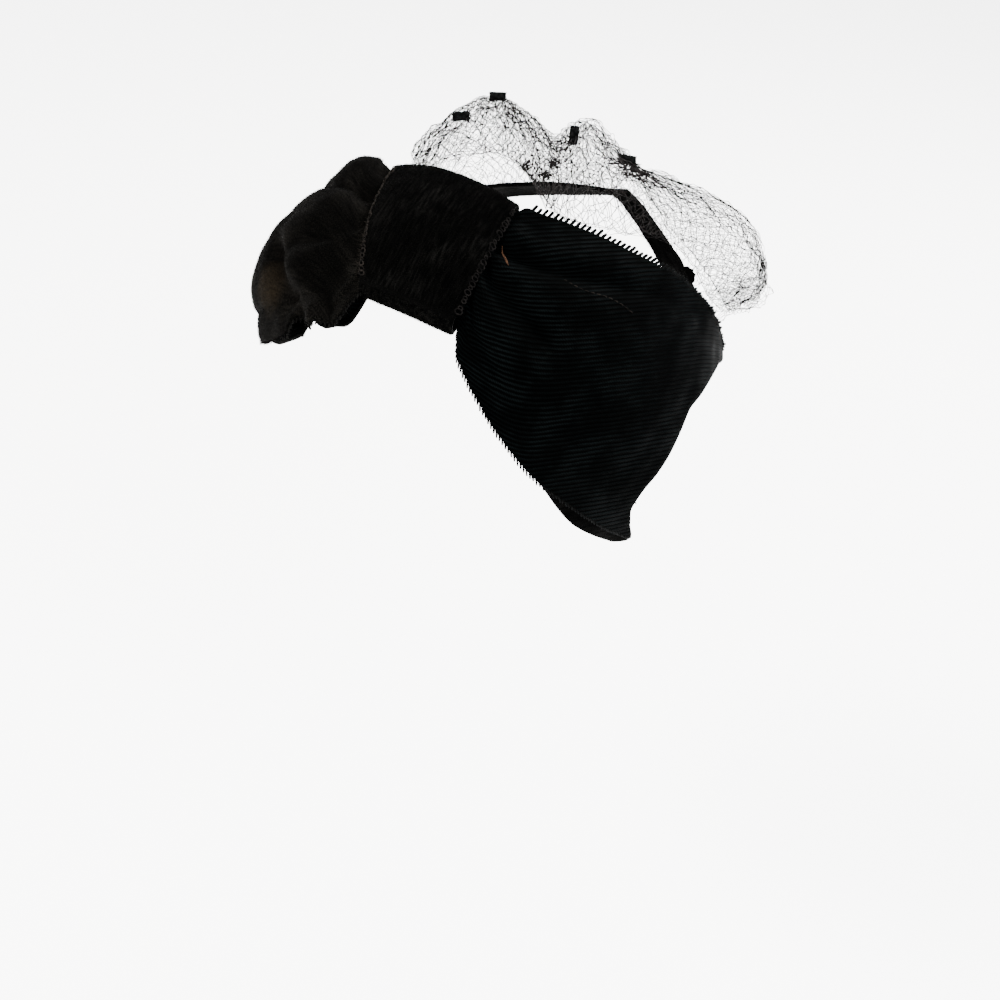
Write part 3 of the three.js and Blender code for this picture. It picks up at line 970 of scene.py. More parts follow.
@dataclass(frozen=True)
class RibbedFinish:
    """The faille back of the velvet: round cross ribs over fine warp threads."""

    name: str
    # The groove colour is painted shade in the rib grooves; the crest colour is a painted highlight on
    # the rib crests.
    groove_shade: Colour
    crest: Colour
    pitch: float = 1.45
    waver: float = 1.6
    warp_pitch: float = 0.8
    warp_lean: float = 2.6
    relief: float = 0.36
    relief_strength: float = 0.85
    specular: float = 0.003
    sheen: float = 0.001
    sheen_tint: Colour = (0.6, 0.75, 0.8)

    def build(self) -> bpy.types.Material:
        """The ribbed material.

        Returns:
            The material.
        """
        shader = Shader(self.name)
        cloth = shader.cloth_place()
        along, across = shader.parts(cloth)
        waver = shader.noise(shader.scaled(cloth, (0.06, 0.22, 1.0)), 1.0)
        phase = across * (math.pi / self.pitch) + waver * self.waver
        rib = abs(phase.sine()) ** 0.75
        warp_phase = along * (math.tau / self.warp_pitch) + phase * self.warp_lean
        warp = warp_phase.sine() * 0.5 + 0.5
        # Random patches where the crests take a stronger painted highlight and the cloth is less
        # rough.
        sheen_patch_mask = shader.noise(cloth, 0.09, 3.0).spread(0.38, 0.68)
        slub = shader.noise(shader.scaled(cloth, (0.5, 2.4, 1.0)), 1.0)
        height = rib * 0.8 + warp * 0.2 + slub * 0.16
        # Painted highlight along the rib crests and painted shade in the grooves, following the rib
        # shape.
        shown = (rib * (slub * 0.45 + 0.4 + warp * 0.2)).spread(0.42, 0.92)
        colour = shader.mixed(shown * (sheen_patch_mask * 0.7 + 0.3), self.groove_shade, self.crest)
        return shader.finished(
            {
                "Base Color": colour,
                "Roughness": 0.74 - 0.14 * sheen_patch_mask,
                "Specular IOR Level": self.specular,
                "Sheen Weight": self.sheen,
                "Sheen Roughness": 0.5,
                "Sheen Tint": (*self.sheen_tint, 1.0),
                "Normal": shader.bumped(height, self.relief, self.relief_strength),
            }
        )


@dataclass(frozen=True)
class ThreadFinish:
    """Plain thread, net or fibre, slightly uneven in colour."""

    name: str
    dark: Colour
    light: Colour
    roughness: float
    sheen: float = 0.1
    mottle: float = 0.8

    def build(self) -> bpy.types.Material:
        """The thread material.

        Returns:
            The material.
        """
        shader = Shader(self.name)
        place = shader.object_place()
        mottled = shader.noise(place, self.mottle, 3.0)
        fibres = shader.noise(place, 6.0, 1.0)
        return shader.finished(
            {
                "Base Color": shader.mixed(mottled.spread(0.35, 0.7), self.dark, self.light),
                "Roughness": self.roughness - 0.2 * mottled,
                "Specular IOR Level": 0.012,
                "Sheen Weight": self.sheen,
                "Sheen Roughness": 0.4,
                "Normal": shader.bumped(fibres, 0.08, 0.5),
            }
        )


@dataclass(frozen=True)
class StageFinish:
    """The matt pale floor."""

    name: str
    colour: Colour
    glow: float = 3.6

    def build(self) -> bpy.types.Material:
        """The floor material.

        Returns:
            The material.
        """
        sockets = {
            "Base Color": (*self.colour, 1.0),
            "Roughness": 0.9,
            "Emission Color": (1.0, 1.0, 1.0, 1.0),
            "Emission Strength": self.glow,
        }
        return Shader(self.name).finished(sockets)


@dataclass(frozen=True)
class Wardrobe:
    """All the finishes of the hat, built once."""

    velvet: bpy.types.Material
    puffed_velvet: bpy.types.Material
    ribbed: bpy.types.Material
    pile: bpy.types.Material
    picot: bpy.types.Material
    shaded_picot: bpy.types.Material
    teeth: bpy.types.Material
    stray: bpy.types.Material
    net: bpy.types.Material
    chenille: bpy.types.Material

    @staticmethod
    def build() -> "Wardrobe":
        """Builds every material of the hat.

        Returns:
            The finished materials.
        """
        jet = (0.0001, 0.0001, 0.0001)
        finishes = {
            "velvet": VelvetFinish("velvet", jet, (0.003, 0.0028, 0.0026), 0.006, (0.7, 0.67, 0.64)),
            "puffed_velvet": VelvetFinish(
                "puffed_velvet",
                ground=jet,
                nap=(0.0056, 0.005, 0.0042),
                sheen=0.01,
                sheen_tint=(0.75, 0.72, 0.68),
                streak_share=0.25,
                relief=0.4,
                # Centre of the patch of painted brown sheen on the right loop.
                sheen_patch_at=(-57.0, -64.0, -35.0),
            ),
            # Painted shade in the grooves, painted highlight on the crests.
            "ribbed": RibbedFinish("ribbed_back", (0.0, 0.0, 0.0), (0.0013, 0.0019, 0.002)),
            "pile": ThreadFinish("pile", jet, (0.003, 0.0028, 0.0025), 0.95, 0.003),
            "picot": ThreadFinish(
                "picot_thread", (0.0011, 0.0009, 0.0008), (0.0078, 0.0062, 0.0052), 0.85, 0.008
            ),
            # A darker copy of the picot thread: painted shade on the left seam's loops.
            "shaded_picot": ThreadFinish(
                "dark_picot_thread", (0.0006, 0.0005, 0.0005), (0.0032, 0.0027, 0.0025), 0.85, 0.004
            ),
            "teeth": ThreadFinish("rib_ends", jet, (0.0011, 0.0014, 0.0015), 0.8, 0.001),
            "stray": ThreadFinish(
                "stray_thread", (0.015, 0.007, 0.004), (0.05, 0.024, 0.013), 0.85, 0.01
            ),
            "net": ThreadFinish("net", (0.001, 0.0009, 0.0009), (0.012, 0.01, 0.0095), 0.75, 0.02),
            "chenille": ThreadFinish(
                "chenille", (0.0003, 0.0003, 0.0003), (0.003, 0.003, 0.003), 0.95, 0.003
            ),
        }
        return Wardrobe(**{name: finish.build() for name, finish in finishes.items()})


class Slot(Enum):
    """The record's material slots."""

    VELVET = "velvet"
    RIBBED = "ribbed_back"
    NET = "net"
    CHENILLE = "chenille"


def seat(
    patch: Patch,
    name: str,
    materials: Sequence[bpy.types.Material],
    slot: Slot,
    *nodes: str,
) -> bpy.types.Object:
    """Makes a piece that rides on the hat and may stand for solids.

    Args:
        patch: Mesh of the piece.
        name: Name of the piece.
        materials: Materials in the order of the patch's slots.
        slot: Not used.
        nodes: Solids that it stands for.

    Returns:
        The piece.
    """
    piece = patch.build(name, materials)
    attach(piece, BODY)
    if nodes:
        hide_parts(*nodes)
    LOG.info("%s: %d faces", name, len(piece.data.polygons))
    return piece


# The cloth sheets.


@dataclass
class BowLoop(ABC):
    """One loop of the bow: out from the knot, round the far fold and back beneath."""

    edges: tuple[EdgeRow, ...]
    folds: tuple[Fold, ...]
    creases: tuple[Fold, ...]
    hem: Hem
    ripples: Ripples
    rows_out: int = 150
    rows_fold: int = 9
    rows_back: int = 60
    columns: int = 100
    gather_count: int = 5
    gather_depth: float = 0.7
    gather_reach: float = 0.34
    lining_lift: float = 3.3
    hollow: float = 0.02
    hollow_skew: float = 1.6
    tip_from: float = 0.95
    top_from: float = 0.15
    low_from: float = 0.13
    edge_points: int = 160
    edge_step: float = 0.03
    track: Track = field(init=False)

    TOP = slice(0, 3)
    LOW = slice(3, 6)
    LIFT = 6

    def __post_init__(self) -> None:
        """Makes the curves of the loop's edges."""
        self.track = Track(self.edges)

    @abstractmethod
    def extra_lift(self, at: np.ndarray, down: np.ndarray) -> np.ndarray:
        """The height that is the loop's own, besides its creases and gathers."""

    def lift(self, at: np.ndarray, down: np.ndarray) -> np.ndarray:
        """The height of the outer layer above the crown form.

        Args:
            at: Places along the loop.
            down: Places across it.

        Returns:
            The height at each place.
        """
        fade = 1 - ease(0, self.gather_reach, at)
        gathers = self.gather_depth * fade * np.cos(math.tau * self.gather_count * down)
        rise = self.track.sample(at)[..., self.LIFT] + self.extra_lift(at, down)
        return rise + gathers + fold_height(self.creases, at, down)

    def place(self, at: np.ndarray, width: np.ndarray, lift: np.ndarray) -> np.ndarray:
        """Points of the loop, from its edges' directions and a height."""
        row = self.track.sample(at)
        return CROWN.lifted(blend(row[..., self.TOP], row[..., self.LOW], width), lift)

    def reach(self, down: np.ndarray) -> np.ndarray:
        """How far along its table the loop goes, across its width."""
        return 1 - self.hollow * np.sin(math.pi * down**self.hollow_skew)

    def outer(self, at: np.ndarray, down: np.ndarray) -> np.ndarray:
        """Points of the outer layer, half-way through the cloth.

        Args:
            at: Places along the piece, from 0 to 1.
            down: Places across it, from its upper edge to its lower edge.

        Returns:
            A point at each place.
        """
        run = at * self.reach(down)
        step = ease(self.hem.start, self.hem.end, at)
        points = self.place(run, down * (1 - self.hem.short * step), self.lift(run, down))
        return points + CROWN.outward(points) * self.ripples.over(points)[..., None]

    def inner(self, at: np.ndarray, down: np.ndarray) -> np.ndarray:
        """Points of the inner layer, half-way through the cloth.

        Args:
            at: Places along the piece, from 0 to 1.
            down: Places across it, from its upper edge to its lower edge.

        Returns:
            A point at each place.
        """
        step = ease(self.hem.start, self.hem.end, at)
        width = down * (1 + self.hem.over * step)
        return self.place(at * self.reach(down), width, np.array(self.lining_lift))

    def middle(self) -> np.ndarray:
        """The whole loop as a grid of points half-way through the cloth.

        Returns:
            The grid, with a row for each place along the loop.
        """
        down = np.linspace(0, 1, self.columns + 1)
        at, across = np.meshgrid(np.linspace(0, 1, self.rows_out + 1), down, indexing="ij")
        outer = self.outer(at, across)
        before_tip = self.outer(np.full_like(down, self.tip_from), down)
        tip_inside = self.inner(np.ones_like(down), down)
        fold = half_turn(outer[-1], tip_inside, unit(outer[-1] - before_tip), self.rows_fold)
        back, across = np.meshgrid(np.linspace(1, 0, self.rows_back + 1), down, indexing="ij")
        return np.concatenate([outer, fold, self.inner(back, across)])

    def edge(self, start: float, end: float, rim: Rim) -> Edge:
        """Part of the outer layer's upper or lower edge.

        Args:
            start: Where the edge starts along the loop.
            end: Where it ends.
            rim: Which of the two edges it is.

        Returns:
            The edge.
        """
        at = np.linspace(start, end, self.edge_points)
        down = rim.value
        here = self.outer(at, np.full_like(at, down))
        inside = self.outer(at, np.full_like(at, down - self.edge_step * (2 * down - 1)))
        outward = unit(here - inside)
        tangent = unit(np.gradient(here, axis=0))
        normal = unit(np.cross(tangent, outward))
        facing = np.sign(np.sum(normal * CROWN.outward(here), axis=-1, keepdims=True))
        return Edge(here, outward, normal * facing)


@dataclass(frozen=True)
class RibEnds:
    """Short ends of the ribs that stand out of a cut edge like the teeth of a comb."""

    pitch: float = 1.9
    length: float = 2.7
    radius: float = 0.58
    slant: float = 0.1
    rise: float = 0.5
    steps: tuple[float, ...] = (-0.45, 0.3, 0.8, 1.0, 1.05)
    taper: tuple[float, ...] = (1.0, 1.0, 0.95, 0.8, 0.1)
    seed: int = 3

    def patch(self, edge: Edge) -> Patch:
        """The rib ends that stand out of an edge.

        Args:
            edge: The edge that they grow out of.

        Returns:
            The patch of all the rib ends.
        """
        spaced = edge.spaced(self.pitch)
        chance = np.random.default_rng(self.seed)
        count = len(spaced.points)
        slant = self.slant * chance.uniform(0.75, 1.25, (count, 1))
        lean = self.rise + chance.normal(0, 0.1, (count, 1))
        way = unit(spaced.outward + spaced.tangent * slant + spaced.normal * lean)
        reach = self.length * chance.uniform(0.8, 1.15, (count, 1, 1))
        steps = np.array(self.steps).reshape(1, -1, 1)
        paths = spaced.points[:, None] + way[:, None] * steps * reach
        return tube_patch(paths, np.array(self.taper) * self.radius, 6, spaced.normal)


@dataclass(frozen=True)
class PileFringe:
    """Loose pile fibres along an edge."""

    per_mm: float = 26
    length: float = 1.5
    width: float = 0.13
    spread: float = 0.55
    seed: int = 5

    def patch(self, edge: Edge) -> Patch:
        """The fibres that grow along an edge.

        Args:
            edge: The edge that they grow out of.

        Returns:
            The patch of all the fibres.
        """
        strewn = edge.scattered(self.per_mm, self.seed)
        chance = np.random.default_rng(self.seed + 1)
        count = len(strewn.points)
        side = chance.uniform(-1, 1, (count, 1))
        roots = strewn.points + strewn.normal * side * SURFACE
        loose = chance.normal(0, self.spread, (count, 3))
        way = unit(strewn.outward + strewn.normal * side * 0.9 + loose)
        lengths = self.length * chance.uniform(0.45, 1.0, count)
        return blade_patch(roots, way, lengths, self.width, self.seed + 2)


@dataclass(frozen=True)
class PileCoat:
    """Upright pile fibres over the velvet side of a cloth."""

    count: int
    length: float = 0.9
    width: float = 0.12
    lean: float = 0.5
    seed: int = 11

    def patch(self, middle: np.ndarray, facing: Facing, closed: bool, rows: slice) -> Patch:
        """The fibres over part of a sheet.

        Args:
            middle: Grid of points half-way through the cloth.
            facing: The side that carries the pile.
            closed: Whether the grid's last row joins its first one.
            rows: Rows of the grid that carry fibres.

        Returns:
            The patch of all the fibres.
        """
        sign = 1 if facing is Facing.NORMAL else -1
        normals = surface_normals(middle, closed) * sign
        grid, normals = middle[rows], normals[rows]
        chance = np.random.default_rng(self.seed)
        areas = np.linalg.norm(
            np.cross(np.diff(grid, axis=0)[:, :-1], np.diff(grid, axis=1)[:-1]), axis=-1
        )
        weights = (areas / areas.sum()).ravel()
        cell = chance.choice(weights.size, self.count, p=weights)
        i, j = np.unravel_index(cell, areas.shape)
        s, t = chance.uniform(0, 1, (2, self.count))
        near = blend(grid[i, j], grid[i + 1, j], s)
        far = blend(grid[i, j + 1], grid[i + 1, j + 1], s)
        roots = blend(near, far, t)
        normal = normals[i, j]
        lay = unit(grid[i + 1, j] - grid[i, j])
        loose = chance.normal(0, 0.28, (self.count, 3))
        way = unit(normal + lay * self.lean + loose)
        lengths = self.length * chance.uniform(0.6, 1.0, self.count)
        return blade_patch(roots + normal * SURFACE * 0.8, way, lengths, self.width, self.seed + 1)


@dataclass
class LeftLoop(BowLoop):
    """The left loop, ribbed side out, with its rib ends and its line of stitches."""

    edges: tuple[EdgeRow, ...] = LEFT_EDGES
    folds: tuple[Fold, ...] = LEFT_FOLDS
    creases: tuple[Fold, ...] = LEFT_CREASES
    reaches: tuple[ReachRow, ...] = LEFT_REACH
    hem: Hem = Hem(0.58, 0.84, 0.035, 0.05)
    ripples: Ripples = Ripples(21, 11.0, 0.16)
    low_tuck: float = 1.2
    tuck_down: Span = (0.7, 1.0)
    rib_across: Triple = (-0.34, 0.29, 0.89)
    rib_along: Triple = (0.89, 0.45, 0.09)
    curve_from: float = 62.0
    curve: float = 0.0115
    fan: float = 22.0
    fan_from: float = 0.3
    fan_fade: Span = (0.1, 0.6)
    far_from: float = 0.8
    far_to: float = 0.94
    far_back: int = 12
    stitch_from: Span = (0.41, 0.3)
    stitch_to: Span = (0.67, 0.28)
    stitch_count: int = 13
    stitch_gap: float = 0.3
    stitch_sag: float = 0.012
    stitch_arch: float = 0.32
    stitch_radius: float = 0.17
    stray_share: tuple[float, ...] = (0.0, 0.35, 0.7, 1.0)
    stray_at: tuple[float, ...] = (0.154, 0.168, 0.204, 0.234)
    stray_down: tuple[float, ...] = (0.334, 0.371, 0.398, 0.421)
    stray_split: Triple = (0.9, 0.0, 0.5)
    stray_radius: float = 0.12

    def extra_lift(self, at: np.ndarray, down: np.ndarray) -> np.ndarray:
        """The folds, less the tuck of the lower edge."""
        tucked = self.low_tuck * ease(*self.tuck_down, down)
        return fold_height(self.folds, at, down) - tucked

    def reach(self, down: np.ndarray) -> np.ndarray:
        """How far along its table the loop goes, by the wavy line of its far fold."""
        return Track(self.reaches).sample(down)[..., 0]

    def rib_coordinates(self, middle: np.ndarray) -> np.ndarray:
        """Coordinates along and across the ribs, which bend down towards the far fold.

        Args:
            middle: Grid of points half-way through the cloth.

        Returns:
            The coordinates at each point, in millimetres.
        """
        along = middle @ np.array(self.rib_along)
        across = middle @ np.array(self.rib_across)
        beyond = np.maximum(along - self.curve_from, 0)
        across = across + self.curve * beyond * beyond
        rows, columns = middle.shape[:2]
        at = np.clip(np.arange(rows) / self.rows_out, 0, 1)[:, None]
        low = np.clip(np.linspace(0, 1, columns) - self.fan_from, 0, 1)[None]
        across = across - self.fan * low * (1 - ease(*self.fan_fade, at))
        return np.stack([along, across, np.zeros_like(along)], axis=-1)

    def far_edge(self, middle: np.ndarray) -> Edge:
        """The lower part of the far fold, where the rib ends show.

        Args:
            middle: Grid of points half-way through the cloth.

        Returns:
            The edge.
        """
        row = self.rows_out + self.rows_fold // 2
        part = slice(int(self.far_from * self.columns), int(self.far_to * self.columns))
        points = middle[row, part]
        outward = unit(points - middle[row - self.far_back, part])
        tangent = np.gradient(points, axis=0)
        return Edge(points, outward, unit(np.cross(tangent, outward)))

    def stitches(self) -> Patch:
        """The dashed line of stitches that crosses the loop.

        Returns:
            The patch of all the stitches.
        """
        starts = np.linspace(0, 1, self.stitch_count + 1)[:-1, None]
        gap = self.stitch_gap / self.stitch_count
        steps = np.linspace(0, 1, 5)
        share = starts + (1 / self.stitch_count - gap) * steps
        at = self.stitch_from[0] + (self.stitch_to[0] - self.stitch_from[0]) * share
        sag = self.stitch_sag * np.sin(share * 7)
        down = self.stitch_from[1] + (self.stitch_to[1] - self.stitch_from[1]) * share + sag
        points = self.outer(at, down)
        outward = CROWN.outward(points)
        arch = np.sin(math.pi * steps)[:, None]
        paths = points + outward * (SURFACE - 0.1 + self.stitch_arch * arch)
        return tube_patch(paths, np.array(self.stitch_radius), 5, outward[:, 2])

    def stray_thread(self) -> Patch:
        """A brown end of thread that is caught in the cloth beside the knot.

        Returns:
            The patch of its two strands.
        """
        share = np.linspace(0, 1, 12)
        at = np.interp(share, self.stray_share, self.stray_at)
        down = np.interp(share, self.stray_share, self.stray_down)
        points = self.outer(at, down)
        outward = CROWN.outward(points)
        arch = np.sin(math.pi * share)[:, None]
        main = points + outward * (SURFACE + 0.25 + 0.5 * arch)
        side = points + outward * (SURFACE + 0.2)
        side = side + np.array(self.stray_split) * arch * share[:, None]
        return tube_patch(np.stack([main, side]), np.array(self.stray_radius), 5, outward[:2])

    def build(self, wardrobe: Wardrobe) -> None:
        """Makes the cloth, its rib ends, its loose pile and its stitches.

        Args:
            wardrobe: All the finishes of the hat.
        """
        middle = self.middle()
        sheet = sheet_patch(middle, CLOTH, self.rib_coordinates(middle), Facing.REVERSE)
        sides = [wardrobe.ribbed, wardrobe.velvet]
        cloth = seat(sheet, "left_loop_cloth", sides, Slot.RIBBED, "left_bow_loop")
        top = self.edge(self.top_from, 1.0, Rim.UPPER)
        low = self.edge(self.low_from, 1.0, Rim.LOWER)
        small = RibEnds(pitch=1.66, length=1.8, slant=0.2, radius=0.32, rise=0.0, seed=4)
        long = RibEnds(pitch=1.5, length=3.2, slant=0.1, radius=0.3, rise=0.0, seed=6)
        ends = [RibEnds().patch(top), small.patch(low), long.patch(self.far_edge(middle))]
        teeth = seat(Patch.joined(ends), "left_loop_rib_ends", [wardrobe.teeth], Slot.RIBBED)
        fibres = [
            PileFringe(per_mm=7, length=1.3, seed=31).patch(top),
            PileFringe(per_mm=16, length=1.5, seed=34).patch(low),
        ]
        fuzz = seat(Patch.joined(fibres), "left_loop_loose_pile", [wardrobe.pile], Slot.VELVET)
        stitched = seat(self.stitches(), "left_loop_stitches", [wardrobe.picot], Slot.RIBBED)
        stray = seat(self.stray_thread(), "left_loop_stray_thread", [wardrobe.stray], Slot.RIBBED)


@dataclass
class RightLoop(BowLoop):
    """The right loop, velvet side out, caught up into soft lobes with a ruffled edge."""

    edges: tuple[EdgeRow, ...] = RIGHT_EDGES
    folds: tuple[Fold, ...] = RIGHT_FOLDS
    creases: tuple[Fold, ...] = RIGHT_CREASES
    hem: Hem = Hem(0.0, 1.0, 0.0, 0.0)
    ripples: Ripples = Ripples(22, 9.0, 0.2)
    puff: float = 8.8
    puff_from: float = 0.13
    puff_slant: float = 0.05
    puff_run: float = 0.21
    swell_stretch: float = 1.16
    swell_shift: float = 0.02
    fullness: float = 0.6
    tail: float = 2.2
    tail_from: float = 0.45
    roll: float = 1.0
    roll_at: Span = (0.4, 0.5)
    roll_down: Span = (0.84, 1.0)
    lobe: float = 3.4
    lobe_rise: Span = (0.135, 0.19)
    lobe_fall: Span = (0.28, 0.4)
    lobe_down: Span = (0.1, 0.32)
    notch: float = 0.075
    notch_at: float = 0.37
    notch_span: float = 0.035
    notch_down: Span = (0.7, 1.0)
    ruffle_from: float = 0.16
    ruffle_to: float = 0.42
    ruffle_waves: float = 2.5
    ruffle_depth: float = 2.6
    ruffle_down: Span = (0.8, 1.0)
    fringe_at: Span = (0.14, 0.46)

    def extra_lift(self, at: np.ndarray, down: np.ndarray) -> np.ndarray:
        """The puff, the hanging end, the lobe and the ruffle, which grow out of the knot.

        Args:
            at: Places along the piece, from 0 to 1.
            down: Places across it, from its upper edge to its lower edge.

        Returns:
            The height at each place.
        """
        out = ease(0.0, self.puff_run, at - self.puff_from - self.puff_slant * down)
        swollen = np.minimum(down * self.swell_stretch + self.swell_shift, 1)
        swell = np.sin(math.pi * swollen).clip(0) ** self.fullness
        hanging = np.clip((down - self.tail_from) / (1 - self.tail_from), 0, 1)
        tail = np.sin(math.pi * hanging).clip(0) ** self.fullness
        roll = self.roll * ease(*self.roll_down, down) * ease(*self.roll_at, at)
        along = (at - self.ruffle_from) / (self.ruffle_to - self.ruffle_from)
        inside = np.where((along > 0) & (along < 1), np.sin(math.pi * along), 0)
        waves = 1 + np.sin(math.tau * self.ruffle_waves * along)
        ruffle = self.ruffle_depth * inside * ease(*self.ruffle_down, down) * waves
        folds = fold_height(self.folds, at, down)
        beside_knot = ease(*self.lobe_rise, at) * (1 - ease(*self.lobe_fall, at))
        lobe = self.lobe * beside_knot * (1 - ease(*self.lobe_down, down))
        return out * (self.puff * swell + self.tail * tail + folds) + ruffle + lobe - roll

    def place(self, at: np.ndarray, width: np.ndarray, lift: np.ndarray) -> np.ndarray:
        """Points of the loop, with the notch in its lower edge beside the ruffle."""
        near = np.exp(-(((at - self.notch_at) / self.notch_span) ** 2))
        return super().place(at, width - self.notch * near * ease(*self.notch_down, width), lift)

    def build(self, wardrobe: Wardrobe) -> None:
        """Makes the cloth, the fringe of its ruffle and its pile.

        Args:
            wardrobe: All the finishes of the hat.
        """
        middle = self.middle()
        sheet = sheet_patch(middle, CLOTH, lengths_over(middle), Facing.NORMAL)
        sides = [wardrobe.puffed_velvet, wardrobe.ribbed]
        cloth = seat(sheet, "right_loop_cloth", sides, Slot.VELVET, "right_bow_loop")
        ends = RibEnds(pitch=1.5, length=1.9, slant=0.1, radius=0.34, rise=0.0, seed=8)
        ruffle = ends.patch(self.edge(self.fringe_at[0], self.fringe_at[1], Rim.LOWER))
        fringe = seat(ruffle, "right_loop_fringe", [wardrobe.pile], Slot.VELVET)
        top = self.edge(self.top_from, 1.0, Rim.UPPER)
        low = self.edge(self.low_from, 1.0, Rim.LOWER)
        shown = slice(0, self.rows_out + self.rows_fold)
        fibres = [
            PileFringe(per_mm=20, length=1.5, seed=41).patch(top),
            PileFringe(per_mm=24, length=1.7, seed=44).patch(low),
            PileCoat(count=42000, seed=47).patch(middle, Facing.NORMAL, False, shown),
        ]
        pile = seat(Patch.joined(fibres), "right_loop_pile", [wardrobe.pile], Slot.VELVET)


@dataclass
class Knot:
    """The flat velvet wrap round the middle of the bow, with a looped selvage down each side."""

    top_left: Triple = (17, -34, 0)
    top_right: Triple = (-37, -18, -1)
    low_left: Triple = (18.5, -73.5, -21.8)
    low_right: Triple = (-18, -70, -20.5)
    top_lift: float = 9.6
    under_lift: float = 1.1
    fold_lift: float = 6.0
    crowning: float = 2.2
    pinch: float = 1.5
    pinch_power: float = 8.0
    rows_over: int = 70
    rows_fold: int = 9
    rows_under: int = 24
    columns: int = 56
    ripples: Ripples = Ripples(23, 8.0, 0.13)
    picot_pitch: float = 1.75
    picot_radius: float = 0.78
    picot_growth: float = 0.3
    picot_outset: float = 0.35
    picot_inset: float = 1.5
    thread_radius: float = 0.25
    seam_points: int = 90
    seam_step: float = 0.03
    frayed_at: Span = (0.06, 0.46)

    def place(self, up: np.ndarray, side: np.ndarray, lift: np.ndarray) -> np.ndarray:
        """Points of the knot at a height above the crown form.

        Args:
            up: Places from the lower edge to the upper one.
            side: Places from the left seam to the right one.
            lift: Height at each place.

        Returns:
            The points.
        """
        top = blend(np.array(self.top_left, float), np.array(self.top_right, float), side)
        low = blend(np.array(self.low_left, float), np.array(self.low_right, float), side)
        return CROWN.lifted(blend(low, top, up), lift)

    def over(self, up: np.ndarray, side: np.ndarray) -> np.ndarray:
        """Points of the upper layer, pinched down along its seams.

        Args:
            up: Places from the lower edge to the upper one.
            side: Places from the left seam to the right one.

        Returns:
            A point at each place.
        """
        beside = np.abs(2 * side - 1) ** self.pinch_power
        lift = self.top_lift + self.crowning * np.sin(math.pi * up) * (1 - 0.6 * beside)
        lift = lift - self.pinch * beside * np.sin(math.pi * up) ** 0.5
        points = self.place(up, side, lift)
        return points + CROWN.outward(points) * self.ripples.over(points)[..., None]

    def middle(self) -> np.ndarray:
        """The whole wrap as a closed grid of points half-way through the cloth.

        Returns:
            The grid, whose last row joins its first one.
        """
        side = np.linspace(0, 1, self.columns + 1)
        up, across = np.meshgrid(np.linspace(0, 1, self.rows_over + 1), side, indexing="ij")
        over = self.over(up, across)
        down, across = np.meshgrid(np.linspace(1, 0, self.rows_under + 1), side, indexing="ij")
        under = self.place(down, across, np.array(self.under_lift))
        upward, downward = self.way_out(side, 1.0, 0.9), self.way_out(side, 0.0, 0.1)
        top_fold = half_turn(over[-1], under[0], upward, self.rows_fold)
        low_fold = half_turn(under[-1], over[0], downward, self.rows_fold)
        return np.concatenate([over, top_fold, under, low_fold])

    def way_out(self, side: np.ndarray, end: float, inner: float) -> np.ndarray:
        """Directions out of the knot at one of its ends.

        Args:
            side: Places from the left seam to the right one.
            end: 0 for the lower end and 1 for the upper one.
            inner: A place a little way in from that end.

        Returns:
            The directions.
        """
        lift = np.array(self.fold_lift)
        outer = self.place(np.full_like(side, end), side, lift)
        return unit(outer - self.place(np.full_like(side, inner), side, lift))

    def seam(self, side: Seam, start: float = 0.02, end: float = 0.975) -> Edge:
        """One side seam of the upper layer, or a part of it.

        Args:
            side: Which of the two seams it is.
            start: Where the seam starts, from the lower end of the knot.
            end: Where it ends.

        Returns:
            The seam as an edge.
        """
        up = np.linspace(start, end, self.seam_points)
        inward = self.seam_step * (1 - 2 * side.value)
        here = self.over(up, np.full_like(up, side.value))
        inside = self.over(up, np.full_like(up, side.value + inward))
        return Edge(here, unit(here - inside), CROWN.outward(here))

    def rim(self, middle: np.ndarray, row: int) -> Edge:
        """The turned-over upper or lower end of the knot, at a row of its grid."""
        outward = surface_normals(middle, closed=True)[row]
        return Edge(middle[row] + outward * SURFACE, outward, CROWN.outward(middle[row]))

    def picots(self, side: Seam, seed: int) -> Patch:
        """Small loops of thread that stand out of a seam and lie on the bow.

        Args:
            side: Which of the two seams it is.
            seed: Seed of the loops' small differences.

        Returns:
            The patch of the loops.
        """
        spaced = self.seam(side).spaced(self.picot_pitch)
        chance = np.random.default_rng(seed)
        count = len(spaced.points)
        wider = 1 + self.picot_growth * side.value
        size = self.picot_radius * wider * chance.uniform(0.6, 1.25, (count, 1, 1))
        turns = np.linspace(-0.55, math.tau + 0.55, 12).reshape(1, -1, 1)
        aside = self.picot_outset - self.picot_inset * side.value
        centre = spaced.points + spaced.outward * aside + spaced.normal * (SURFACE + 0.15)
        centre = centre + spaced.normal * chance.normal(0, 0.12, (count, 1))
        centre = centre + spaced.tangent * chance.normal(0, 0.22, (count, 1))
        outward, tangent = spaced.outward[:, None], spaced.tangent[:, None]
        rise = spaced.normal[:, None] * 0.5 * self.picot_radius * np.sin(turns / 2)
        paths = centre[:, None] + size * (
            -outward * np.cos(turns) * 1.35 + tangent * np.sin(turns)
        ) + rise
        return tube_patch(paths, np.array(self.thread_radius), 5, spaced.normal)

    def build(self, wardrobe: Wardrobe) -> None:
        """Makes the wrap, its selvages and its pile.

        Args:
            wardrobe: All the finishes of the hat.
        """
        middle = self.middle()
        sheet = sheet_patch(middle, CLOTH, lengths_over(middle), Facing.NORMAL, closed=True)
        sides = [wardrobe.velvet, wardrobe.ribbed]
        cloth = seat(sheet, "knot_cloth", sides, Slot.VELVET, "knot")
        left = self.picots(Seam.LEFT, 51)
        picots = Patch.joined([left, self.picots(Seam.RIGHT, 52)])
        picots.slots = np.arange(len(picots.faces)) >= len(left.faces)
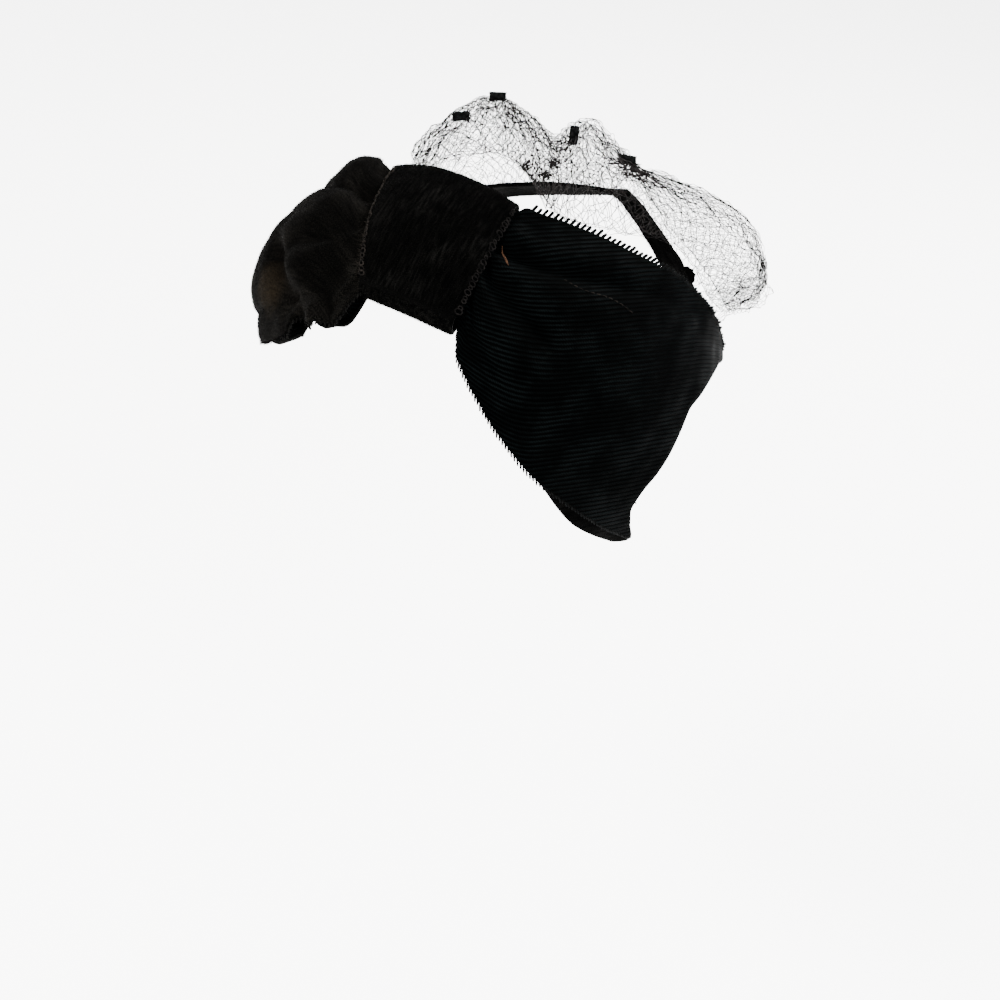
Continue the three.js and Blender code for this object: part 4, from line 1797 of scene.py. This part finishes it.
        # The left seam's loops take the darker copy of the thread, as painted shade.
        threads = [wardrobe.shaded_picot, wardrobe.picot]
        selvages = seat(picots, "knot_selvages", threads, Slot.VELVET)
        frayed = PileFringe(per_mm=16, length=3.4, width=0.16, spread=0.3, seed=58)
        fringed = frayed.patch(self.seam(Seam.RIGHT, *self.frayed_at))
        strands = seat(fringed, "knot_frayed", [wardrobe.picot], Slot.VELVET)
        coat = PileCoat(count=34000, lean=-0.6, seed=57)
        fringe = PileFringe(per_mm=9, length=1.1, seed=54)
        shown = slice(0, self.rows_over + self.rows_fold)
        fibres = [
            coat.patch(middle, Facing.NORMAL, True, shown),
            coat.patch(middle, Facing.NORMAL, True, slice(-self.rows_fold, None)),
            fringe.patch(self.seam(Seam.LEFT)),
            fringe.patch(self.seam(Seam.RIGHT)),
            PileFringe(per_mm=24, length=1.6, seed=61).patch(self.rim(middle, -4)),
            PileFringe(per_mm=28, length=1.9, seed=62).patch(self.rim(middle, self.rows_over + 5)),
        ]
        pile = seat(Patch.joined(fibres), "knot_pile", [wardrobe.pile], Slot.VELVET)


@dataclass
class BackBand:
    """The narrow velvet band that closes the ring behind the open crown."""

    rows: tuple[BandRow, ...] = BAND_ROWS
    steps: int = 220
    columns: int = 10
    crowning: float = 0.5
    tuck_from: float = 0.205
    tuck_to: float = 0.245
    tuck_radius: float = 2.1
    tuck_lift: float = 0.8
    pucker: float = 0.16
    pucker_waves: float = 3.5
    ripples: Ripples = Ripples(24, 7.0, 0.15)

    def edges(self, at: np.ndarray) -> tuple[np.ndarray, np.ndarray]:
        """The band's lower and upper edge.

        Args:
            at: Places along the band, from the left loop to the right one.

        Returns:
            Points of the lower edge and of the upper edge.
        """
        table = Track(self.rows).sample(at)
        low = CROWN.lifted(table[..., 0:3], table[..., 3])
        top = CROWN.lifted(table[..., 4:7], table[..., 7])
        return low, top

    def middle(self) -> np.ndarray:
        """The band as a grid of points half-way through the cloth.

        Returns:
            The grid, with a row for each place along the band.
        """
        low, top = self.edges(np.linspace(0, 1, self.steps))
        share = np.linspace(0, 1, self.columns + 1)
        grid = low[:, None] + (top - low)[:, None] * share[None, :, None]
        height = self.crowning * np.sin(math.pi * share) + self.ripples.over(grid)
        return grid + CROWN.outward(grid) * height[..., None]

    def tuck(self) -> Patch:
        """The small puckered fold where the net's gathers are drawn in at the band's edge.

        Returns:
            The patch of the fold.
        """
        share = np.linspace(0, 1, 15)
        _, path = self.edges(np.linspace(self.tuck_from, self.tuck_to, len(share)))
        outward = CROWN.outward(path)
        radii = self.tuck_radius * np.sin(math.pi * share).clip(0.05) ** 0.6
        puckers = 1 + self.pucker * np.sin(share * math.tau * self.pucker_waves)
        spine = (path + outward * self.tuck_lift)[None]
        return tube_patch(spine, radii * puckers, 12, outward[7:8])

    def build(self, wardrobe: Wardrobe) -> None:
        """Makes the band, its tuck and its pile.

        Args:
            wardrobe: All the finishes of the hat.
        """
        middle = self.middle()
        normals = surface_normals(middle)
        halfway = self.steps // 2
        turned_out = normals[halfway, 0] @ CROWN.outward(middle[halfway, 0]) > 0
        facing = Facing.NORMAL if turned_out else Facing.REVERSE
        sheet = sheet_patch(middle, CLOTH, lengths_over(middle), facing)
        sides = [wardrobe.velvet, wardrobe.velvet]
        cloth = seat(sheet, "back_band_cloth", sides, Slot.VELVET, "back_band")
        tuck = seat(self.tuck(), "back_band_tuck", [wardrobe.velvet], Slot.VELVET)
        fringe = PileFringe(per_mm=16, length=1.3, seed=64)
        fibres = [
            fringe.patch(Edge.of(middle, 0, normals)),
            fringe.patch(Edge.of(middle, -1, normals)),
            PileCoat(count=9000, seed=67).patch(middle, facing, False, slice(None)),
        ]
        pile = seat(Patch.joined(fibres), "back_band_pile", [wardrobe.pile], Slot.VELVET)


# The veil and its chenille bars.


class NetSurface(ABC):
    """A smooth surface that a net follows."""

    normal_step = 0.004

    @abstractmethod
    def points(self, at: np.ndarray, across: np.ndarray) -> np.ndarray:
        """Points of the surface at places along and across it."""

    def normals(self, at: np.ndarray, across: np.ndarray) -> np.ndarray:
        """The normals of the surface, from small steps over it.

        Args:
            at: Places along the piece, from 0 to 1.
            across: Places across it, from 0 to 1.

        Returns:
            A unit vector at each place.
        """
        step = self.normal_step
        along = self.points(np.clip(at + step, 0, 1), across)
        along = along - self.points(np.clip(at - step, 0, 1), across)
        over = self.points(at, np.clip(across + step, 0, 1))
        over = over - self.points(at, np.clip(across - step, 0, 1))
        return unit(np.cross(along, over))


@dataclass
class VeilSurface(NetSurface):
    """The surface of the veil's poufs: five-point profiles between the stations."""

    rows: tuple[VeilRow, ...] = VEIL_ROWS
    swell_share: float = 0.45
    shoulder_rise: float = 0.12
    track: Track = field(init=False)

    def __post_init__(self) -> None:
        """Makes the curves through the stations."""
        self.track = Track(self.rows)

    def points(self, at: np.ndarray, across: np.ndarray) -> np.ndarray:
        """Points of the surface.

        Args:
            at: Places from the left end to the right one.
            across: Places from the band over the crest to the border.

        Returns:
            The points, by a centripetal curve through each profile.
        """
        at, across = np.broadcast_arrays(at, across)
        table = self.track.sample(at)
        base, swell_by = table[..., 0:3], table[..., 3:4]
        crest, border = table[..., 4:7], table[..., 7:10]
        outward = unit(base * np.array((1.0, 1.0, 0.0)))
        swell = base + (crest - base) * self.swell_share + outward * swell_by
        shoulder = (crest + border) / 2
        rise = self.shoulder_rise * np.linalg.norm(crest - border, axis=-1, keepdims=True)
        shoulder = shoulder + rise * np.array((0.0, 0.0, 1.0))
        knots = [2 * base - swell, base, swell, crest, shoulder, border, 2 * border - shoulder]
        stack = np.stack(knots, axis=-2)
        spans = 4
        run = np.clip(across, 0, 1) * spans
        k = np.minimum(run.astype(int), spans - 1)
        t = (run - k)[..., None]
        picked = [np.take_along_axis(stack, (k + n)[..., None, None], -2)[..., 0, :] for n in range(4)]
        p0, p1, p2, p3 = picked
        steps = [b - a for a, b in zip(picked[:-1], picked[1:])]
        gaps = [np.linalg.norm(step, axis=-1, keepdims=True) ** 0.5 for step in steps]
        d0, d1, d2 = (np.maximum(gap, 1e-3) for gap in gaps)
        start = ((p1 - p0) / d0 - (p2 - p0) / (d0 + d1) + (p2 - p1) / d1) * d1
        end = ((p2 - p1) / d1 - (p3 - p1) / (d1 + d2) + (p3 - p2) / d2) * d1
        c2 = 3 * (p2 - p1) - 2 * start - end
        c3 = 2 * (p1 - p2) + start + end
        return p1 + t * (start + t * (c2 + t * c3))


@dataclass
class ApronSurface(NetSurface):
    """The surface of the net that runs from the left of the band out to the veil's swell."""

    veil: VeilSurface
    band: BackBand
    band_from: float = 0.03
    band_to: float = 0.43
    veil_to: float = 0.46
    meet_across: float = 0.36
    bulge: float = 2.5

    def points(self, at: np.ndarray, across: np.ndarray) -> np.ndarray:
        """Points of the surface.

        Args:
            at: Places from the left end to the right one.
            across: Places from the band's edge to the veil.

        Returns:
            The points.
        """
        at, across = np.broadcast_arrays(at, across)
        _, start = self.band.edges(self.band_from + (self.band_to - self.band_from) * at)
        end = self.veil.points(self.veil_to * at, np.full(at.shape, self.meet_across))
        lifted = np.array((0.0, 0.0, self.bulge)) * np.sin(math.pi * across)[..., None]
        return blend(start, end, across) + lifted


@dataclass(frozen=True)
class NetLayer:
    """One layer of fine diamond net laid over the veil's surface."""

    seed: int
    offset: float
    along: int = 100
    across: int = 36
    jitter: float = 0.36
    gather_count: int = 17
    gather_depth: float = 1.5
    gather_until: float = 0.55
    free_from: float = 0.08
    crumple: float = 1.1
    crumple_length: float = 9.0
    thread_radius: float = 0.115
    thin_radius: float = 0.085
    thin_until: float = 0.34
    thin_fade: float = 0.1
    curl: float = 0.3

    def lattice(self, surface: NetSurface) -> np.ndarray:
        """The net's knots, as a grid of which every other point is used.

        Args:
            surface: The smooth surface that the net follows.

        Returns:
            The grid of points.
        """
        chance = np.random.default_rng(self.seed)
        i, j = np.meshgrid(np.arange(self.along + 1), np.arange(self.across + 1), indexing="ij")
        inner = np.minimum(np.minimum(j, self.across - j), 1)
        at = np.clip((i + chance.normal(0, self.jitter, i.shape)) / self.along, 0, 1)
        across = np.clip((j + inner * chance.normal(0, self.jitter, j.shape)) / self.across, 0, 1)
        points = surface.points(at, across)
        normals = surface.normals(at, across)
        crumple = Ripples(self.seed + 1, self.crumple_length, self.crumple).over(points)
        gather = self.gather_depth * np.sin(math.tau * self.gather_count * at)
        height = self.offset + crumple + gather * (1 - ease(0.0, self.gather_until, across))
        free = ease(0.0, self.free_from, across)
        return points + normals * (height * free)[..., None]

    def patch(self, surface: NetSurface) -> Patch:
        """The threads between the net's knots.

        Args:
            surface: The smooth surface that the net follows.

        Returns:
            The patch of all the threads.
        """
        grid = self.lattice(surface)
        i, j = np.meshgrid(np.arange(self.along), np.arange(self.across), indexing="ij")
        even = (i + j) % 2 == 0
        rising = np.stack([grid[i[even], j[even]], grid[i[even] + 1, j[even] + 1]], axis=1)
        falling = np.stack([grid[i[~even], j[~even] + 1], grid[i[~even] + 1, j[~even]]], axis=1)
        k = np.arange(0, self.along - 1)
        odd = self.across % 2
        near = np.stack([grid[k[::2], 0], grid[k[::2] + 2, 0]], axis=1)
        far = np.stack([grid[k[odd::2], self.across], grid[k[odd::2] + 2, self.across]], axis=1)
        ends = np.concatenate([rising, falling, near, far])
        places = np.concatenate([i[even], i[~even], k[::2], k[odd::2]]) / self.along
        thin = self.thin_radius / self.thread_radius
        start, end = self.thin_until - self.thin_fade, self.thin_until + self.thin_fade
        thickness = thin + (1 - thin) * ease(start, end, places)
        radii = self.thread_radius * thickness[:, None]
        chance = np.random.default_rng(self.seed + 2)
        share = np.array((0.0, 0.35, 0.68, 1.0)).reshape(1, -1, 1)
        bow = np.sin(math.pi * share) * chance.normal(0, self.curl, (len(ends), 1, 3))
        paths = ends[:, :1] + (ends[:, 1:] - ends[:, :1]) * share + bow
        return tube_patch(paths, radii, 3, chance.normal(size=(len(ends), 3)))


@dataclass
class Veil:
    """The veil: layers of net that are gathered on the band and tacked in places."""

    band: BackBand
    surface: VeilSurface = field(default_factory=VeilSurface)
    apron: NetLayer = NetLayer(
        seed=75, offset=0.0, along=44, across=13, gather_depth=0.4, thread_radius=0.09
    )
    layers: tuple[NetLayer, ...] = (
        NetLayer(seed=71, offset=0.3),
        NetLayer(seed=81, offset=-1.2, along=92, across=34, crumple=1.5),
        NetLayer(seed=91, offset=-3.0, along=70, across=25, crumple=2.0),
    )
    tack_rows: tuple[TackRow, ...] = TACK_ROWS
    tack_threads: int = 26
    tack_radius: float = 0.15
    pleat_rows: tuple[PleatRow, ...] = PLEAT_ROWS
    pleat_threads: int = 6
    pleat_steps: int = 24
    pleat_radius: float = 0.1

    def pleats(self) -> Patch:
        """Threads that run together where the net is folded, as bundles along lines.

        Returns:
            The patch of all the threads.
        """
        chance = np.random.default_rng(95)
        size = (self.pleat_threads, self.pleat_steps)
        share = np.linspace(0, 1, self.pleat_steps)[None]
        paths = []
        for row in self.pleat_rows:
            wander = np.cumsum(chance.normal(0, 0.004, size), axis=1)
            at = np.clip(row.from_at + (row.to_at - row.from_at) * share + wander, 0, 1)
            drift = np.cumsum(chance.normal(0, 0.006, size), axis=1)
            run = row.to_across - row.from_across
            across = np.clip(row.from_across + run * share + drift, 0, 1)
            points = self.surface.points(at, across)
            paths.append(points + chance.normal(0, 0.25, points.shape))
        joined = np.concatenate(paths)
        towards = chance.normal(size=(len(joined), 3))
        return tube_patch(joined, np.array(self.pleat_radius), 3, towards)

    def tacks(self) -> Patch:
        """Short wound threads that draw the net together between its poufs.

        Returns:
            The patch of all the threads.
        """
        chance = np.random.default_rng(91)
        paths = []
        count = self.tack_threads
        for row in self.tack_rows:
            centre = self.surface.points(np.array(row.at), np.array(row.across))
            way = unit(chance.normal(size=(count, 1, 3)))
            half = chance.uniform(1.2, 2.6, (count, 1, 1))
            loose = chance.normal(0, 0.5, (count, 1, 3))
            steps = np.linspace(-1, 1, 4).reshape(1, -1, 1)
            bend = (1 - steps**2) * chance.normal(0, 0.7, (count, 1, 3))
            paths.append(centre + loose + way * steps * half + bend)
        joined = np.concatenate(paths)
        towards = chance.normal(size=(len(joined), 3))
        return tube_patch(joined, np.array(self.tack_radius), 3, towards)

    def build(self, wardrobe: Wardrobe) -> None:
        """Makes the net and its tacks.

        Args:
            wardrobe: All the finishes of the hat.
        """
        layers = [layer.patch(self.surface) for layer in self.layers]
        layers.append(self.apron.patch(ApronSurface(self.surface, self.band)))
        layers.append(self.pleats())
        net = seat(Patch.joined(layers), "veil_net", [wardrobe.net], Slot.NET, "veil")
        tacks = seat(self.tacks(), "veil_tacks", [wardrobe.net], Slot.NET)


@dataclass
class ChenilleBars:
    """The small dense black bars on the net."""

    surface: VeilSurface
    rows: tuple[BarRow, ...] = BAR_ROWS
    length: float = 6.5
    radius: float = 1.7
    height: float = 0.7
    fibre: float = 0.45
    fibres: int = 1500
    fibre_width: float = 0.16
    core_steps: tuple[float, ...] = (-0.5, -0.49, -0.25, 0.0, 0.25, 0.49, 0.5)
    core_shares: tuple[float, ...] = (0.1, 0.9, 1.0, 0.97, 1.0, 0.9, 0.1)

    def frame(self, row: BarRow) -> tuple[np.ndarray, np.ndarray, np.ndarray]:
        """A bar's middle, the direction of its length and its upward direction.

        Args:
            row: The bar's row of the table.

        Returns:
            The three vectors.
        """
        step = 0.01
        point = self.surface.points(np.array(row.at), np.array(row.across))
        along = unit(self.surface.points(np.array(row.at + step), np.array(row.across)) - point)
        over = unit(self.surface.points(np.array(row.at), np.array(row.across + step)) - point)
        normal = unit(np.cross(along, over))
        if normal[2] < 0:
            normal = -normal
        lie = unit(np.array(row.lie))
        upward = unit(normal - lie * (normal @ lie))
        return point + normal * self.height, lie, upward

    def build(self, wardrobe: Wardrobe) -> None:
        """Makes each bar: a dense core with short fibres all round.

        Args:
            wardrobe: All the finishes of the hat.
        """
        for number, row in enumerate(self.rows):
            centre, lie, normal = self.frame(row)
            chance = np.random.default_rng(100 + number)
            path = (centre + lie * np.array(self.core_steps)[:, None] * self.length)[None]
            core = tube_patch(path, np.array(self.core_shares) * self.radius, 14, normal[None])
            chenille = [wardrobe.chenille]
            seat(core, row.name.replace("bar", "core"), chenille, Slot.CHENILLE, row.name)
            angle = chance.uniform(0, math.tau, self.fibres)
            place = chance.uniform(-0.5, 0.5, self.fibres)
            side = np.cross(lie, normal)
            radial = np.cos(angle)[:, None] * normal + np.sin(angle)[:, None] * side
            roots = centre + lie * place[:, None] * self.length + radial * self.radius * 0.85
            loose = chance.normal(0, 0.3, (self.fibres, 3))
            way = unit(radial + lie * place[:, None] * 1.2 + loose)
            lengths = self.fibre * chance.uniform(0.5, 1.2, self.fibres)
            tuft = blade_patch(roots, way, lengths, self.fibre_width, 110 + number)
            seat(tuft, row.name.replace("bar", "fibres"), chenille, Slot.CHENILLE)


# The stage.


@dataclass(frozen=True)
class PhotoCamera:
    """The camera at the photograph's viewing angle."""

    azimuth: float = 24.4
    elevation: float = 24.5
    roll: float = 5.8
    distance: float = 520.0
    target: Triple = (0.0, 0.0, -60.0)
    shown_at: Span = (497.0, 333.0)
    focal_pixels: float = 1383.0
    frame_pixels: float = 1000.0
    sensor: float = 36.0

    def build(self) -> None:
        """Makes the camera and gives it to the scene."""
        azimuth, elevation, roll = np.radians((self.azimuth, self.elevation, self.roll))
        back = np.array(
            (
                math.sin(azimuth) * math.cos(elevation),
                -math.cos(azimuth) * math.cos(elevation),
                math.sin(elevation),
            )
        )
        level = np.array((math.cos(azimuth), math.sin(azimuth), 0.0))
        upright = np.cross(back, level)
        right = level * math.cos(roll) + upright * math.sin(roll)
        up = upright * math.cos(roll) - level * math.sin(roll)
        half = self.frame_pixels / 2
        aside = (self.shown_at[0] - half) / self.focal_pixels
        above = (half - self.shown_at[1]) / self.focal_pixels
        forward = unit(-back - right * aside - up * above)
        right = unit(right - forward * (right @ forward))
        up = np.cross(right, forward)
        data = bpy.data.cameras.new("photo_camera")
        data.sensor_width = self.sensor
        data.lens = self.sensor * self.focal_pixels / self.frame_pixels
        camera = bpy.data.objects.new("photo_camera", data)
        place = (np.array(self.target) + back * self.distance) * MM
        axes = np.stack([right, up, -forward], axis=1)
        matrix = np.eye(4)
        matrix[:3, :3] = axes
        matrix[:3, 3] = place
        camera.matrix_world = Matrix(matrix.tolist())
        bpy.context.scene.collection.objects.link(camera)
        bpy.context.scene.camera = camera


@dataclass(frozen=True)
class Softbox:
    """A large soft light that looks at the hat."""

    name: str
    place: Triple
    size: float
    watts: float
    colour: Colour
    aim: Triple = (0.0, 0.0, -0.05)

    def build(self) -> None:
        """Makes the light."""
        data = bpy.data.lights.new(self.name, "AREA")
        data.shape = "DISK"
        data.size = self.size
        data.energy = self.watts
        data.color = self.colour
        light = bpy.data.objects.new(self.name, data)
        light.location = self.place
        way = Vector(self.aim) - Vector(self.place)
        light.rotation_euler = way.to_track_quat("-Z", "Y").to_euler()
        bpy.context.scene.collection.objects.link(light)


@dataclass(frozen=True)
class Studio:
    """The pale floor and the soft light round the hat, which is held up above the floor."""

    floor_depth: float = 0.42
    floor_size: float = 60.0
    surround: float = 1.7
    lights: tuple[Softbox, ...] = (
        Softbox("key", (-0.9, -1.1, 1.5), 0.7, 165.0, (1.0, 0.98, 0.94)),
        Softbox("fill", (1.3, -0.9, 1.0), 0.8, 75.0, (0.88, 0.95, 1.0)),
        Softbox("back", (0.5, 1.3, 1.3), 0.8, 100.0, (1.0, 0.98, 0.95)),
    )

    def build(self) -> None:
        """Makes the floor, the surrounding light and the softboxes."""
        half = self.floor_size / 2
        corners = np.array([(-half, -half), (half, -half), (half, half), (-half, half)]) / MM
        points = np.column_stack([corners, np.full(4, -self.floor_depth / MM)])
        floor = Patch(points, np.array([[0, 1, 2, 3]])).build(
            "floor", [StageFinish("pale_floor", (0.88, 0.88, 0.88)).build()]
        )
        world = bpy.data.worlds.new("surround")
        world.use_nodes = True
        background = world.node_tree.nodes["Background"]
        background.inputs["Color"].default_value = (1.0, 1.0, 1.0, 1.0)
        background.inputs["Strength"].default_value = self.surround
        bpy.context.scene.world = world
        for light in self.lights:
            light.build()


def main() -> None:
    """Loads the solids, builds each part of the hat in order and sets the stage."""
    logging.basicConfig(level=logging.INFO, format="%(message)s")
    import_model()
    PhotoCamera().build()
    Studio().build()
    wardrobe = Wardrobe.build()
    LeftLoop().build(wardrobe)
    RightLoop().build(wardrobe)
    Knot().build(wardrobe)
    band = BackBand()
    band.build(wardrobe)
    veil = Veil(band)
    veil.build(wardrobe)
    ChenilleBars(veil.surface).build(wardrobe)
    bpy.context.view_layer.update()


if __name__ == "__main__":
    main()
